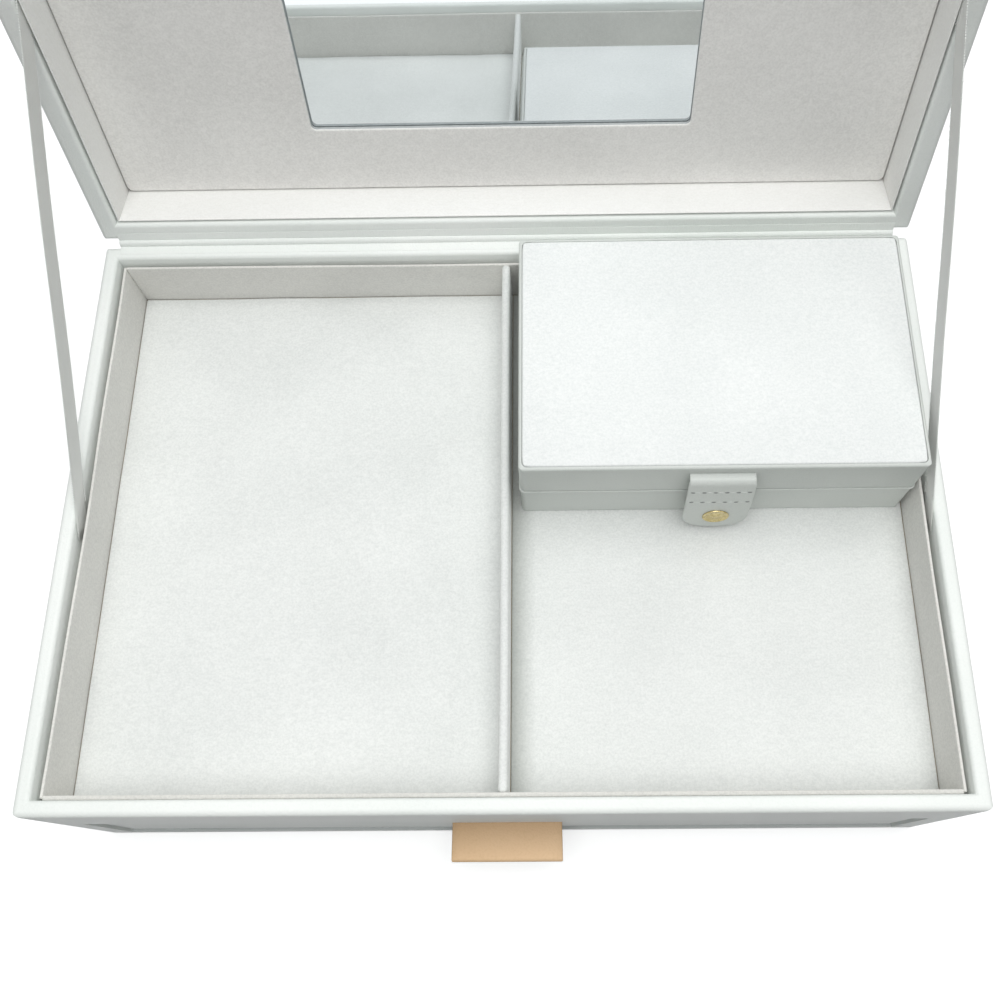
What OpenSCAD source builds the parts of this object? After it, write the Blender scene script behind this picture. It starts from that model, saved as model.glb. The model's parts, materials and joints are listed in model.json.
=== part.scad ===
// Vanity box with a mirror in the lid, an open tray, a drawer and a small lift-out travel case.
// Boards wrapped in leatherette, card linings, a fabric hinge and two ribbon stays.
// Millimetres. X runs right, Y back and Z up; the origin is the centre of the underside.

/* [Box] */
// Width of the whole box
box_w = 300; // [270:1:360]
// Depth of the whole box, front to back
box_d = 206; // [190:1:260]
// Height of the base, from the table to its rim
base_h = 76; // [70:1:110]
// Gap between the closed lid and the base rim, where the hinge lining folds
rim_gap = 1; // [0.9:0.1:2]
// Leatherette with its glue
wrap_t = 0.8; // [0.5:0.1:1]
// Boards of the base walls
base_board_t = 3.6; // [3:0.1:6]
// Boards of the lid walls
lid_board_t = 5.7; // [4:0.1:8]
// Board under the base
bottom_board_t = 3; // [2:0.1:5]
// Felt sheet that the box stands on
felt_t = 0.8; // [0.6:0.1:1.6]
// Set-back of the felt sheet from the outer faces
felt_inset = 2.5; // [1:0.1:8]
// Width of the leatherette that turns under the base
turn_under = 12; // [8:1:20]
// Height of the leatherette that turns over a rim and down inside
turn_in = 15; // [10:1:16]
// Radius of the upright corners of base and lid
corner_r = 3; // [1.2:0.1:3.4]
// Radius of the outer edge of both rims
rim_r = 2; // [0.8:0.1:2.4]
// Radius of the inner edge of both rims
rim_inner_r = 1.4; // [0.5:0.1:1.8]
// Radius of the lid's padded top edge
lid_top_r = 3; // [1:0.1:3.2]

/* [Tray] */
// Depth of the compartments below the rim
tray_depth = 25; // [20:0.5:36]
// Padded floor of a compartment
pad_t = 1.2; // [0.8:0.1:3]
// Board that carries the tray
shelf_t = 2.4; // [1.8:0.1:4]
// Covered card that lines the walls
liner_t = 1; // [0.6:0.1:2]
// Gap behind the wall linings, where the ribbons are tucked in
liner_gap = 0.8; // [0.7:0.1:0.9]
// Step from the rim down to the linings' top edge
liner_drop = 4.5; // [2:0.1:8]
// Covered board between the compartments
divider_t = 3; // [2:0.1:6]
// Place of the divider, from the middle of the box
divider_x = 0.5; // [-2:0.5:2]

/* [Drawer] */
// Width of the upright strip at each side of the drawer front
stile_w = 10.5; // [8:0.5:20]
// Running gap round the drawer front and at the drawer's sides
drawer_gap = 0.5; // [0.3:0.05:1]
// Gap under the drawer box
slide_gap = 0.3; // [0.2:0.05:0.5]
// Set-back of the drawer front from the box front
front_recess = 1; // [0:0.1:2]
// Board of the drawer front
front_board_t = 3.4; // [2.4:0.1:6]
// Radius of the soft edges round the drawer front
drawer_edge_r = 0.8; // [0.3:0.1:1]
// Boards of the drawer box
drawer_board_t = 2.4; // [1.8:0.1:4]
// Height of the drawer's sides
drawer_side_h = 34; // [20:1:38]
// Free space behind the drawer
drawer_back_gap = 3; // [1:0.5:10]
// Suede lining on the drawer's floor
drawer_lining_t = 1.2; // [0.8:0.1:3]
// Travel of the drawer
drawer_travel = 150; // [100:5:160]

/* [Pull tab] */
// Width of the pull tab
tab_w = 38.5; // [24:0.5:60]
// Thickness of the doubled strip
tab_t = 1.8; // [1.2:0.1:2.4]
// Reach of the tab in front of the drawer
tab_reach = 13; // [8:0.5:20]
// Height of the flap glued behind the drawer front
tab_flap_h = 18; // [12:1:24]
// Thickness of the single strip
tab_strip_t = 0.8; // [0.6:0.1:1.2]
// Clearance of the slot that the tab comes through
tab_slot_gap = 0.1; // [0.05:0.05:0.3]

/* [Lid inside] */
// Depth of the lid, from its rim to the lining panel
lid_recess = 16.7; // [16:0.1:24]
// Suede-covered panel round the mirror
panel_t = 2; // [1.5:0.1:4]
// Mirror glass
glass_t = 2; // [1.5:0.1:3]
// Board of the lid's top
top_board_t = 3; // [2:0.1:5]
// Sheet of foam under the lid's cover
foam_t = 1; // [0.6:0.1:1.2]
// Width of the mirror window
window_w = 134; // [80:1:200]
// Height of the mirror window, hinge side to front
window_d = 137; // [80:1:150]
// Corner radius of the mirror window
window_r = 3; // [1:0.5:10]
// How far the glass laps behind the window's edge
glass_lap = 4; // [2:0.5:10]
// Clearance round the glass and the panel
panel_gap = 0.3; // [0.2:0.05:0.5]
// Suede-covered card that lines the lid's walls
lid_lining_t = 0.5; // [0.4:0.1:1.5]
// Gap behind the lid's wall linings, where the ribbons are tucked in
lid_lining_gap = 0.7; // [0.7:0.05:0.9]
// Step from the lid's rim to its wall linings
lid_lining_drop = 1.2; // [0.6:0.1:3]

/* [Hinge and ribbons] */
// Angle to which the ribbons let the lid open
open_angle = 103; // [95:1:110]
// Distance of the hinge line behind the back faces
hinge_out = 1; // [0.9:0.1:1.5]
// Leatherette strip over the back of the joint
hinge_strip_t = 0.6; // [0.4:0.1:0.8]
// Height of the strip's glued flap on the base, and of that on the lid
hinge_flap = 14; // [8:1:20]
// Thin lining over the inside of the joint
hinge_lining_t = 0.4; // [0.3:0.05:0.42]
// Width of the lining's glued leg on each rim
hinge_leg = 3.5; // [2.5:0.1:4]
// Set-back of both hinge strips from the box's sides
hinge_inset = 6; // [4:0.5:20]
// Width of a ribbon
ribbon_w = 10; // [6:0.5:14]
// Thickness of a ribbon
ribbon_t = 0.3; // [0.2:0.05:0.35]
// Distance of a ribbon's lower end from the back face
ribbon_low = 100; // [80:0.5:120]
// Distance of a ribbon's upper end from the back face, along the closed lid
ribbon_high = 93; // [70:0.5:120]
// Length of ribbon tucked in at each end
ribbon_tail = 12; // [6:0.5:14]

/* [Travel case] */
// Depth of the travel case
case_d = 89.7; // [70:0.1:110]
// Height of the lower half
case_low_h = 19.3; // [16:0.1:24]
// Height of the upper half
case_high_h = 18.5; // [14:0.1:19]
// Gap between the two closed halves
case_part_gap = 0.4; // [0.3:0.05:0.8]
// Space between the case and the right wall lining
case_side_gap = 1.6; // [1:0.1:4]
// Space between the case and the divider, for a fingertip; the case fills the rest of its width
case_divider_gap = 3.8; // [1:0.1:20]
// Space between the case and the back wall lining
case_back_gap = 1.8; // [1.4:0.1:4]
// Boards of the case
case_board_t = 2.2; // [1.6:0.1:3]
// Suede lining inside the case
case_lining_t = 0.8; // [0.5:0.1:1.5]
// Radius of the case's upright corners
case_corner_r = 2; // [1:0.1:2.4]
// Radius of the case's long edges
case_edge_r = 0.8; // [0.4:0.1:1.2]
// Padded panel on top of the case
case_panel_t = 1.6; // [1:0.1:2.2]
// Leatherette edge left round the padded panel
case_panel_inset = 1.2; // [1:0.1:3]
// Clearance round the padded panel in its pocket
case_panel_gap = 0.1; // [0.05:0.05:0.3]
// Height of the padded panel above that edge
case_panel_rise = 0.3; // [0:0.1:0.6]
// Strip hinge at the back of the case
case_hinge_t = 0.6; // [0.4:0.1:0.8]
// Height of the strip hinge
case_hinge_h = 18; // [10:1:24]
// Radius of the rolled crease along the middle of the strip hinge
case_crease_r = 0.45; // [0.42:0.01:0.5]
// Set-back of the strip hinge from the case's sides
case_hinge_inset = 5; // [3:0.5:20]
// Height to which the case is lifted out
lift_travel = 60; // [45:1:90]

/* [Snap tab] */
// Width of the snap tab
snap_w = 22.5; // [16:0.5:30]
// Thickness of the doubled leatherette
snap_t = 1.4; // [1:0.1:2]
// Height of the tab's root above the bottom of the case
snap_root_h = 33.3; // [30:0.1:34]
// Length of the hanging flap
snap_len = 31.5; // [26:0.5:32]
// Radius of the flap's lower corners
snap_r = 8; // [2:0.5:10]
// How far the unfastened flap stands off, in degrees
snap_rest = 7; // [4:0.5:12]
// Distance from the root to the fold at the tab's top
snap_fold = 1.7; // [1:0.1:3]
// Clearance of the rounded root from the case front
snap_root_gap = 0.3; // [0.2:0.05:0.6]
// Height of the press stud above the bottom of the case
stud_h = 11.5; // [9:0.1:14]
// Radius of the stud's nipple
nipple_r = 1.6; // [1:0.1:2]
// Radius of the stud's foot
stud_foot_r = 4; // [3:0.1:5]
// Thickness of the stud's foot
stud_foot_t = 0.4; // [0.3:0.05:0.6]
// Clearance between the nipple and its socket
nipple_gap = 0.5; // [0.3:0.05:0.8]
// Thickness of the socket's closed side
socket_floor = 0.3; // [0.2:0.05:0.4]
// Radius of the socket
socket_r = 4.2; // [3:0.1:5]
// Depth of the socket
socket_t = 1.3; // [1:0.1:1.6]
// Radius of the gold cap
cap_r = 4.8; // [3.5:0.1:6]
// Height of the gold cap
cap_h = 1; // [0.6:0.1:1.6]
// Radius of the post that joins cap and socket
post_r = 1.2; // [0.8:0.1:1.5]

/* [Hidden] */
$fn = 64;

// Overshoot of a cutting shape past the face that it cuts
over = 1;

// Base walls, from the outer faces inwards
half_w = box_w / 2;
half_d = box_d / 2;
core_w = half_w - wrap_t;
core_d = half_d - wrap_t;
inner_w = core_w - base_board_t;
inner_d = core_d - base_board_t;
mouth_w = inner_w - wrap_t;
mouth_d = inner_d - wrap_t;

// Levels of the base, from the table up
under_z = felt_t;
board_z = under_z + wrap_t;
bottom_z = board_z + bottom_board_t;
bay_z = bottom_z + wrap_t;
floor_z = base_h - tray_depth;
shelf_top_z = floor_z - pad_t;
shelf_z = shelf_top_z - shelf_t;
liner_z = base_h - liner_drop;

// Tray linings
liner_w = mouth_w - liner_gap;
liner_d = mouth_d - liner_gap;
tray_w = liner_w - liner_t;
tray_d = liner_d - liner_t;

// Drawer
bay_w = half_w - stile_w;
bay_h = shelf_z - bay_z;
drawer_w = bay_w - drawer_gap;
drawer_z = bay_z + slide_gap;
front_y = -half_d + front_recess;
front_board_y = front_y + wrap_t;
front_back_y = front_board_y + front_board_t;
front_low_z = bay_z + drawer_gap;
front_high_z = shelf_z - drawer_gap;
drawer_end_y = inner_d - drawer_back_gap;
drawer_in_w = drawer_w - drawer_board_t;
drawer_floor_z = drawer_z + drawer_board_t;
tab_z = (front_low_z + front_high_z) / 2;

// Lid, drawn closed
rim_z = base_h + rim_gap;
panel_z = rim_z + lid_recess;
glass_z = panel_z + panel_t;
top_board_z = glass_z + glass_t;
foam_z = top_board_z + top_board_t;
lid_core_z = foam_z + foam_t;
lid_top_z = lid_core_z + wrap_t;
lid_in_w = core_w - lid_board_t;
lid_in_d = core_d - lid_board_t;
lid_mouth_w = lid_in_w - wrap_t;
lid_mouth_d = lid_in_d - wrap_t;
lining_w = lid_mouth_w - lid_lining_gap;
lining_d = lid_mouth_d - lid_lining_gap;
lining_in_w = lining_w - lid_lining_t;
lining_in_d = lining_d - lid_lining_t;
panel_w = lid_in_w - panel_gap;
panel_d = lid_in_d - panel_gap;
glass_w = window_w / 2 + glass_lap;
glass_d = window_d / 2 + glass_lap;

// Hinge line
hinge_y = half_d + hinge_out;
hinge_z = rim_z;
hinge_w = half_w - hinge_inset;
// The lining runs clear of the strip, in a ring round the hinge line
lining_ring_r = hinge_out + 0.05;
// Angle at which the lining's ring meets its leg on the lid
lid_leg_angle = 180 + asin(hinge_lining_t / 2 / (lining_ring_r + hinge_lining_t / 2));

// A point of the closed lid, as [y, z], carried to where the open lid has it
function opened(p) = [
    hinge_y + (p[0] - hinge_y) * cos(open_angle) + (p[1] - hinge_z) * sin(open_angle),
    hinge_z - (p[0] - hinge_y) * sin(open_angle) + (p[1] - hinge_z) * cos(open_angle)
];

// Ends of a ribbon's free length, for the right-hand side
ribbon_from = [mouth_w - liner_gap / 2, half_d - ribbon_low, liner_z];
ribbon_lid_end = opened([half_d - ribbon_high, rim_z + lid_lining_drop]);
ribbon_to = [lid_mouth_w - lid_lining_gap / 2, ribbon_lid_end[0], ribbon_lid_end[1]];
ribbon_run = ribbon_to - ribbon_from;
ribbon_free = norm(ribbon_run);
ribbon_pitch = asin(ribbon_run[2] / ribbon_free);
ribbon_yaw = -atan2(ribbon_run[0], ribbon_run[1]);

// Travel case, seated in the right-hand compartment
case_w = tray_w - divider_x - divider_t / 2 - case_side_gap - case_divider_gap;
case_x = tray_w - case_side_gap - case_w / 2;
case_back_y = tray_d - case_back_gap;
case_y = case_back_y - case_d / 2;
case_front_y = case_back_y - case_d;
// The case stands on the padded floor with a hair's breadth under it
case_floor_gap = 0.2;
case_z = floor_z + case_floor_gap;
case_part_z = case_z + case_low_h;
case_lid_z = case_part_z + case_part_gap;
case_top_z = case_lid_z + case_high_h;
case_core_w = case_w / 2 - wrap_t;
case_core_d = case_d / 2 - wrap_t;
case_in_w = case_core_w - case_board_t;
case_in_d = case_core_d - case_board_t;
case_panel_w = case_w - 2 * case_panel_inset;
case_panel_d = case_d - 2 * case_panel_inset;
case_panel_z = case_top_z + case_panel_rise - case_panel_t;
// The linings end a little below the case's rims
case_lining_step = 0.5;
case_hinge_y = case_back_y + case_hinge_t / 2;

// Snap tab, drawn fastened, with its flap upright
snap_axis_y = case_front_y - snap_root_gap - snap_t / 2;
snap_axis_z = case_z + snap_root_h;
snap_flap_y = snap_axis_y - snap_fold;
snap_low_z = snap_axis_z - snap_len;
snap_front_y = snap_flap_y - snap_t / 2;
snap_back_y = snap_flap_y + snap_t / 2;
stud_z = case_z + stud_h;
// Play between the nipple's end and the socket's closed side
nipple_play = 0.2;
nipple_len = case_front_y - stud_foot_t - snap_back_y - socket_floor - nipple_play;

// Straight block between two opposite corners
module span(low, high) {
    translate(low)
        cube(high - low);
}

// What a quarter circle leaves of the square corner beyond its centre
module corner_waste(r) {
    difference() {
        square(r + over);
        circle(r);
    }
}

// Plan with four equal round corners, centred
module round_plan(w, d, r) {
    difference() {
        square([w, d], center = true);
        for (mx = [0, 1], my = [0, 1])
            mirror([mx, 0])
                mirror([0, my])
                    translate([w / 2 - r, d / 2 - r])
                        corner_waste(r);
    }
}

// Upright profile from z0 to z1, with one radius for its lower corners and one for its upper
module edge_profile(w, z0, z1, r_low, r_high) {
    difference() {
        translate([-w / 2, z0])
            square([w, z1 - z0]);
        for (mx = [0, 1])
            mirror([mx, 0]) {
                translate([w / 2 - r_high, z1 - r_high])
                    corner_waste(r_high);
                translate([w / 2 - r_low, z0 + r_low])
                    mirror([0, 1])
                        corner_waste(r_low);
            }
    }
}

// The space above z0 inside walls whose rim at z1 is rounded over by r
module mouth_profile(w, z0, z1, r) {
    translate([-w / 2, z0])
        square([w, z1 - z0 + over]);
    for (mx = [0, 1])
        mirror([mx, 0])
            translate([w / 2, z1 - r])
                difference() {
                    square([r, r + over]);
                    translate([r, 0])
                        circle(r);
                }
}

// Extrudes an upright profile along Y, centred
module along_y(length) {
    rotate([90, 0, 0])
        linear_extrude(length, center = true)
            children();
}

// Extrudes an upright profile along X, centred
module along_x(length) {
    rotate([90, 0, 90])
        linear_extrude(length, center = true)
            children();
}

// Block with round upright corners and its own radius on the lower and the upper edges
module soft_block(w, d, z0, z1, r, r_low, r_high) {
    intersection() {
        translate([0, 0, z0])
            linear_extrude(z1 - z0)
                round_plan(w, d, r);
        along_y(d + 2 * over)
            edge_profile(w, z0, z1, r_low, r_high);
        along_x(w + 2 * over)
            edge_profile(d, z0, z1, r_low, r_high);
    }
}

// The space inside four walls, rounded over at the rim
module mouth(w, d, z0, z1, r) {
    intersection() {
        along_y(d + 2 * r)
            mouth_profile(w, z0, z1, r);
        along_x(w + 2 * r)
            mouth_profile(d, z0, z1, r);
    }
}

// Turns what is drawn for a rim that faces up into one that faces down at height z
module face_down(z) {
    translate([0, 0, 2 * z])
        mirror([0, 0, 1])
            children();
}

// Carries what is drawn on the closed lid to where the open lid has it
module open_lid() {
    translate([0, hinge_y, hinge_z])
        rotate([-open_angle, 0, 0])
            translate([0, -hinge_y, -hinge_z])
                children();
}

// Everything inside the leatherette of the base walls
module base_core() {
    translate([0, 0, board_z])
        linear_extrude(base_h - wrap_t - board_z)
            round_plan(2 * core_w, 2 * core_d, corner_r - wrap_t);
}

// Everything inside the leatherette of the closed lid's walls
module lid_core() {
    translate([0, 0, rim_z + wrap_t])
        linear_extrude(foam_z - rim_z - wrap_t)
            round_plan(2 * core_w, 2 * core_d, corner_r - wrap_t);
}

// Side board of the base: side is -1 on the left and 1 on the right
module base_side(side) {
    intersection() {
        base_core();
        translate([side * (inner_w + core_w) / 2, 0, base_h / 2])
            cube([base_board_t, box_d, base_h], center = true);
    }
}

// Side board of the closed lid
module lid_side(side) {
    intersection() {
        lid_core();
        translate([side * (lid_in_w + core_w) / 2, 0, (rim_z + top_board_z) / 2])
            cube([lid_board_t, box_d, top_board_z - rim_z], center = true);
    }
}

// Front or back board of the closed lid, between the side boards
module lid_cross(side) {
    translate([0, side * (lid_in_d + core_d) / 2, (rim_z + wrap_t + top_board_z) / 2])
        cube([2 * lid_in_w, lid_board_t, top_board_z - rim_z - wrap_t], center = true);
}

// Wall lining at the left or right of the closed lid
module lid_lining_side(side) {
    translate([side * (lining_in_w + lining_w) / 2, 0, (rim_z + lid_lining_drop + panel_z) / 2])
        cube([lid_lining_t, 2 * lining_d, lid_recess - lid_lining_drop], center = true);
}

// Wall lining at the front or back of the closed lid
module lid_lining_cross(side) {
    translate([0, side * (lining_in_d + lining_d) / 2, (rim_z + lid_lining_drop + panel_z) / 2])
        cube([2 * lining_in_w, lid_lining_t, lid_recess - lid_lining_drop], center = true);
}

// Felt sheet under the base
module base_felt() {
    color("whitesmoke")
        linear_extrude(felt_t)
            round_plan(box_w - 2 * felt_inset, box_d - 2 * felt_inset, corner_r);
}

// Board between the walls at the bottom
module base_bottom_board() {
    color("tan")
        span([-inner_w, -inner_d, board_z], [inner_w, inner_d, bottom_z]);
}

module base_left_board() {
    color("tan")
        base_side(-1);
}

module base_right_board() {
    color("tan")
        base_side(1);
}

module base_back_board() {
    color("tan")
        span([-inner_w, inner_d, board_z], [inner_w, core_d, base_h - wrap_t]);
}

// Front board with the drawer opening, which the leatherette lines
module base_front_frame() {
    color("tan")
        difference() {
            span([-inner_w, -core_d, board_z], [inner_w, -inner_d, base_h - wrap_t]);
            span([-bay_w - wrap_t, -half_d, bottom_z], [bay_w + wrap_t, 0, shelf_z + wrap_t]);
        }
}

// Leatherette over the base: outside, over the rim, round the opening and under the edges
module base_wrap() {
    color("#eef1ee")
        difference() {
            soft_block(box_w, box_d, under_z, base_h, corner_r, wrap_t, rim_r);
            base_side(-1);
            base_side(1);
            span([-inner_w, inner_d, board_z], [inner_w, core_d, base_h - wrap_t]);
            difference() {
                span([-inner_w, -core_d, board_z], [inner_w, -inner_d, base_h - wrap_t]);
                span([-bay_w - wrap_t, -half_d, bottom_z], [bay_w + wrap_t, 0, shelf_z + wrap_t]);
            }
            span([-inner_w, -inner_d, board_z], [inner_w, inner_d, base_h - turn_in]);
            mouth(2 * mouth_w, 2 * mouth_d, base_h - turn_in - over, base_h, rim_inner_r);
            span([-bay_w, -half_d - over, bay_z], [bay_w, 0, shelf_z]);
            span([turn_under - half_w, turn_under - half_d, 0],
                 [half_w - turn_under, half_d - turn_under, board_z + over]);
        }
}

// Paper on the bottom board, flush with the sill of the opening
module drawer_bay_floor() {
    color("#eef1ee")
        span([-bay_w, -inner_d, bottom_z], [bay_w, inner_d, bay_z]);
}

// Strip that fills the space beside the drawer and carries the shelf
module drawer_guide(side) {
    translate([side * (bay_w + inner_w) / 2, 0, (bottom_z + shelf_z) / 2])
        cube([inner_w - bay_w, 2 * inner_d, shelf_z - bottom_z], center = true);
}

module drawer_guide_left() {
    color("#e3e6e3")
        drawer_guide(-1);
}

module drawer_guide_right() {
    color("#e3e6e3")
        drawer_guide(1);
}

// Board under the tray, which also roofs the drawer bay
module tray_shelf() {
    color("tan")
        span([-inner_w, -inner_d, shelf_z], [inner_w, inner_d, shelf_top_z]);
}

module tray_pad_left() {
    color("#e6ebea")
        span([-tray_w, -tray_d, shelf_top_z], [divider_x - divider_t / 2, tray_d, floor_z]);
}

module tray_pad_right() {
    color("#e6ebea")
        span([divider_x + divider_t / 2, -tray_d, shelf_top_z], [tray_w, tray_d, floor_z]);
}

// Wall lining at the left or right of the tray
module tray_liner_side(side) {
    translate([side * (tray_w + liner_w) / 2, 0, (shelf_top_z + liner_z) / 2])
        cube([liner_t, 2 * liner_d, liner_z - shelf_top_z], center = true);
}

module tray_liner_left() {
    color("#c0c6be")
        tray_liner_side(-1);
}

module tray_liner_right() {
    color("#c0c6be")
        tray_liner_side(1);
}

module tray_liner_front() {
    color("#c0c6be")
        span([-tray_w, -liner_d, shelf_top_z], [tray_w, -tray_d, liner_z]);
}

module tray_liner_back() {
    color("#c0c6be")
        span([-tray_w, tray_d, shelf_top_z], [tray_w, liner_d, liner_z]);
}

// Divider with a round upper edge
module tray_divider() {
    color("#d9ddd9")
        translate([divider_x, 0, 0])
            along_y(2 * tray_d) {
                translate([-divider_t / 2, shelf_top_z])
                    square([divider_t, liner_z - divider_t / 2 - shelf_top_z]);
                translate([0, liner_z - divider_t / 2])
                    circle(divider_t / 2);
            }
}

// Slot in the drawer front for the pull tab
module tab_slot() {
    span([-tab_w / 2 - tab_slot_gap, front_y - over, tab_z - tab_t / 2 - tab_slot_gap],
         [tab_w / 2 + tab_slot_gap, front_back_y + over, tab_z + tab_t / 2 + tab_slot_gap]);
}

// Board of the drawer front, inside its leatherette
module drawer_front_core() {
    span([wrap_t - drawer_w, front_board_y, front_low_z + wrap_t],
         [drawer_w - wrap_t, front_back_y, front_high_z - wrap_t]);
}

module drawer_front_board() {
    color("tan")
        difference() {
            drawer_front_core();
            tab_slot();
        }
}

// Rectangle from x = 0 to its depth, whose two corners at x = 0 are round
module soft_face(depth, w, r) {
    difference() {
        translate([0, -w / 2])
            square([depth, w]);
        for (my = [0, 1])
            mirror([0, my])
                translate([r, w / 2 - r])
                    mirror([1, 0])
                        corner_waste(r);
    }
}

// Leatherette of the drawer front, with soft edges all round its face
module drawer_front_wrap() {
    front_h = front_high_z - front_low_z;
    front_t = front_back_y - front_y;
    color("#eef1ee")
        difference() {
            intersection() {
                translate([0, front_y, front_low_z])
                    linear_extrude(front_h)
                        rotate(90)
                            soft_face(front_t, 2 * drawer_w, drawer_edge_r);
                along_x(2 * drawer_w + 2 * over)
                    translate([front_y, tab_z])
                        soft_face(front_t, front_h, drawer_edge_r);
            }
            drawer_front_core();
            tab_slot();
        }
}

module drawer_bottom() {
    color("tan")
        span([-drawer_in_w, front_back_y, drawer_z], [drawer_in_w, drawer_end_y, drawer_floor_z]);
}

// Side of the drawer box
module drawer_side(side) {
    translate([side * (drawer_in_w + drawer_w) / 2, (front_back_y + drawer_end_y) / 2,
               drawer_z + drawer_side_h / 2])
        cube([drawer_board_t, drawer_end_y - front_back_y, drawer_side_h], center = true);
}

module drawer_left_side() {
    color("#e3e6e3")
        drawer_side(-1);
}

module drawer_right_side() {
    color("#e3e6e3")
        drawer_side(1);
}

module drawer_back() {
    color("#e3e6e3")
        span([-drawer_in_w, drawer_end_y - drawer_board_t, drawer_floor_z],
             [drawer_in_w, drawer_end_y, drawer_z + drawer_side_h]);
}

// Suede floor of the drawer
module drawer_lining() {
    color("#e6ebea")
        span([-drawer_in_w, front_back_y, drawer_floor_z],
             [drawer_in_w, drawer_end_y - drawer_board_t, drawer_floor_z + drawer_lining_t]);
}

// Gold strip folded at its tip, with a flap glued behind the drawer front
module pull_tab() {
    color("#e3bd92")
        along_x(tab_w) {
            translate([front_y - tab_reach + tab_t / 2, tab_z - tab_t / 2])
                square([tab_reach - tab_t / 2 + front_back_y - front_y + tab_strip_t, tab_t]);
            translate([front_y - tab_reach + tab_t / 2, tab_z])
                circle(tab_t / 2);
            translate([front_back_y, tab_z - tab_flap_h / 2])
                square([tab_strip_t, tab_flap_h]);
        }
}

module lid_left_board() {
    color("tan")
        open_lid()
            lid_side(-1);
}

module lid_right_board() {
    color("tan")
        open_lid()
            lid_side(1);
}

module lid_front_board() {
    color("tan")
        open_lid()
            lid_cross(-1);
}

module lid_back_board() {
    color("tan")
        open_lid()
            lid_cross(1);
}

// Board of the lid's top, drawn closed
module lid_top() {
    intersection() {
        lid_core();
        span([-half_w, -half_d, top_board_z], [half_w, half_d, foam_z]);
    }
}

module lid_top_board() {
    color("tan")
        open_lid()
            lid_top();
}

// Foam sheet on the lid's board, set in so that the cover rounds over it
module foam_sheet() {
    translate([0, 0, foam_z])
        linear_extrude(foam_t)
            round_plan(2 * core_w - lid_top_r, 2 * core_d - lid_top_r, corner_r - wrap_t);
}

module lid_foam() {
    color("lightyellow")
        open_lid()
            foam_sheet();
}

// Leatherette over the lid: top, sides, over the rim and inside
module lid_wrap() {
    color("#eef1ee")
        open_lid()
            difference() {
                soft_block(box_w, box_d, rim_z, lid_top_z, corner_r, rim_r, lid_top_r);
                lid_top();
                foam_sheet();
                for (side = [-1, 1]) {
                    lid_side(side);
                    lid_cross(side);
                }
                span([-lid_in_w, -lid_in_d, rim_z + turn_in], [lid_in_w, lid_in_d, top_board_z]);
                face_down(rim_z)
                    mouth(2 * lid_mouth_w, 2 * lid_mouth_d, rim_z - turn_in - over, rim_z, rim_inner_r);
            }
}

module lid_lining_left() {
    color("#c4c5be")
        open_lid()
            lid_lining_side(-1);
}

module lid_lining_right() {
    color("#c4c5be")
        open_lid()
            lid_lining_side(1);
}

module lid_lining_front() {
    color("#c4c5be")
        open_lid()
            lid_lining_cross(-1);
}

module lid_lining_back() {
    color("#efefec")
        open_lid()
            lid_lining_cross(1);
}

// Suede-covered panel with the mirror window
module mirror_panel() {
    color("#c3c4c0")
        open_lid()
            translate([0, 0, panel_z])
                linear_extrude(panel_t)
                    difference() {
                        square([2 * panel_w, 2 * panel_d], center = true);
                        round_plan(window_w, window_d, window_r);
                    }
}

module mirror_glass() {
    color("#b9c6c8")
        open_lid()
            span([-glass_w, -glass_d, glass_z], [glass_w, glass_d, top_board_z]);
}

// Card frame that fills the space round the glass
module mirror_spacer() {
    color("tan")
        open_lid()
            difference() {
                span([-panel_w, -panel_d, glass_z], [panel_w, panel_d, top_board_z]);
                span([-glass_w - panel_gap, -glass_d - panel_gap, glass_z - over],
                     [glass_w + panel_gap, glass_d + panel_gap, top_board_z + over]);
            }
}

// Ring of sheet of thickness t round the hinge line, between two directions in degrees
module hinge_ring(r, t, from, to) {
    translate([hinge_y, hinge_z])
        intersection() {
            difference() {
                circle(r + t);
                circle(r);
            }
            polygon([
                [0, 0],
                for (a = [from : (to - from) / 4 : to]) 4 * (r + t) * [cos(a), sin(a)]
            ]);
        }
}

// Turns an outline drawn on the closed lid's side view to the open lid
module open_outline() {
    translate([hinge_y, hinge_z])
        rotate(-open_angle)
            translate([-hinge_y, -hinge_z])
                children();
}

// Leatherette over the back of the joint: a flap on the base, the fold and a flap on the lid
module hinge_strip() {
    color("#eef1ee")
        along_x(2 * hinge_w) {
            translate([half_d, hinge_z - hinge_flap])
                square([hinge_strip_t, hinge_flap]);
            hinge_ring(hinge_out - hinge_strip_t, hinge_strip_t, 180 - open_angle, 180);
            open_outline()
                translate([half_d, hinge_z])
                    square([hinge_strip_t, hinge_flap]);
        }
}

// Thin lining over the inside of the joint, glued to both rims
module hinge_lining() {
    base_leg_y = hinge_y - lining_ring_r;
    lid_leg_y = hinge_y + (lining_ring_r + hinge_lining_t / 2) * cos(lid_leg_angle);
    color("#e9ecea")
        along_x(2 * hinge_w) {
            translate([base_leg_y - hinge_leg, base_h])
                square([hinge_leg, hinge_lining_t]);
            translate([base_leg_y - hinge_lining_t, base_h])
                square([hinge_lining_t, rim_gap]);
            hinge_ring(lining_ring_r, hinge_lining_t, lid_leg_angle - open_angle, 180);
            open_outline()
                translate([lid_leg_y - hinge_leg, rim_z - hinge_lining_t])
                    square([hinge_leg, hinge_lining_t]);
        }
}

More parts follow.
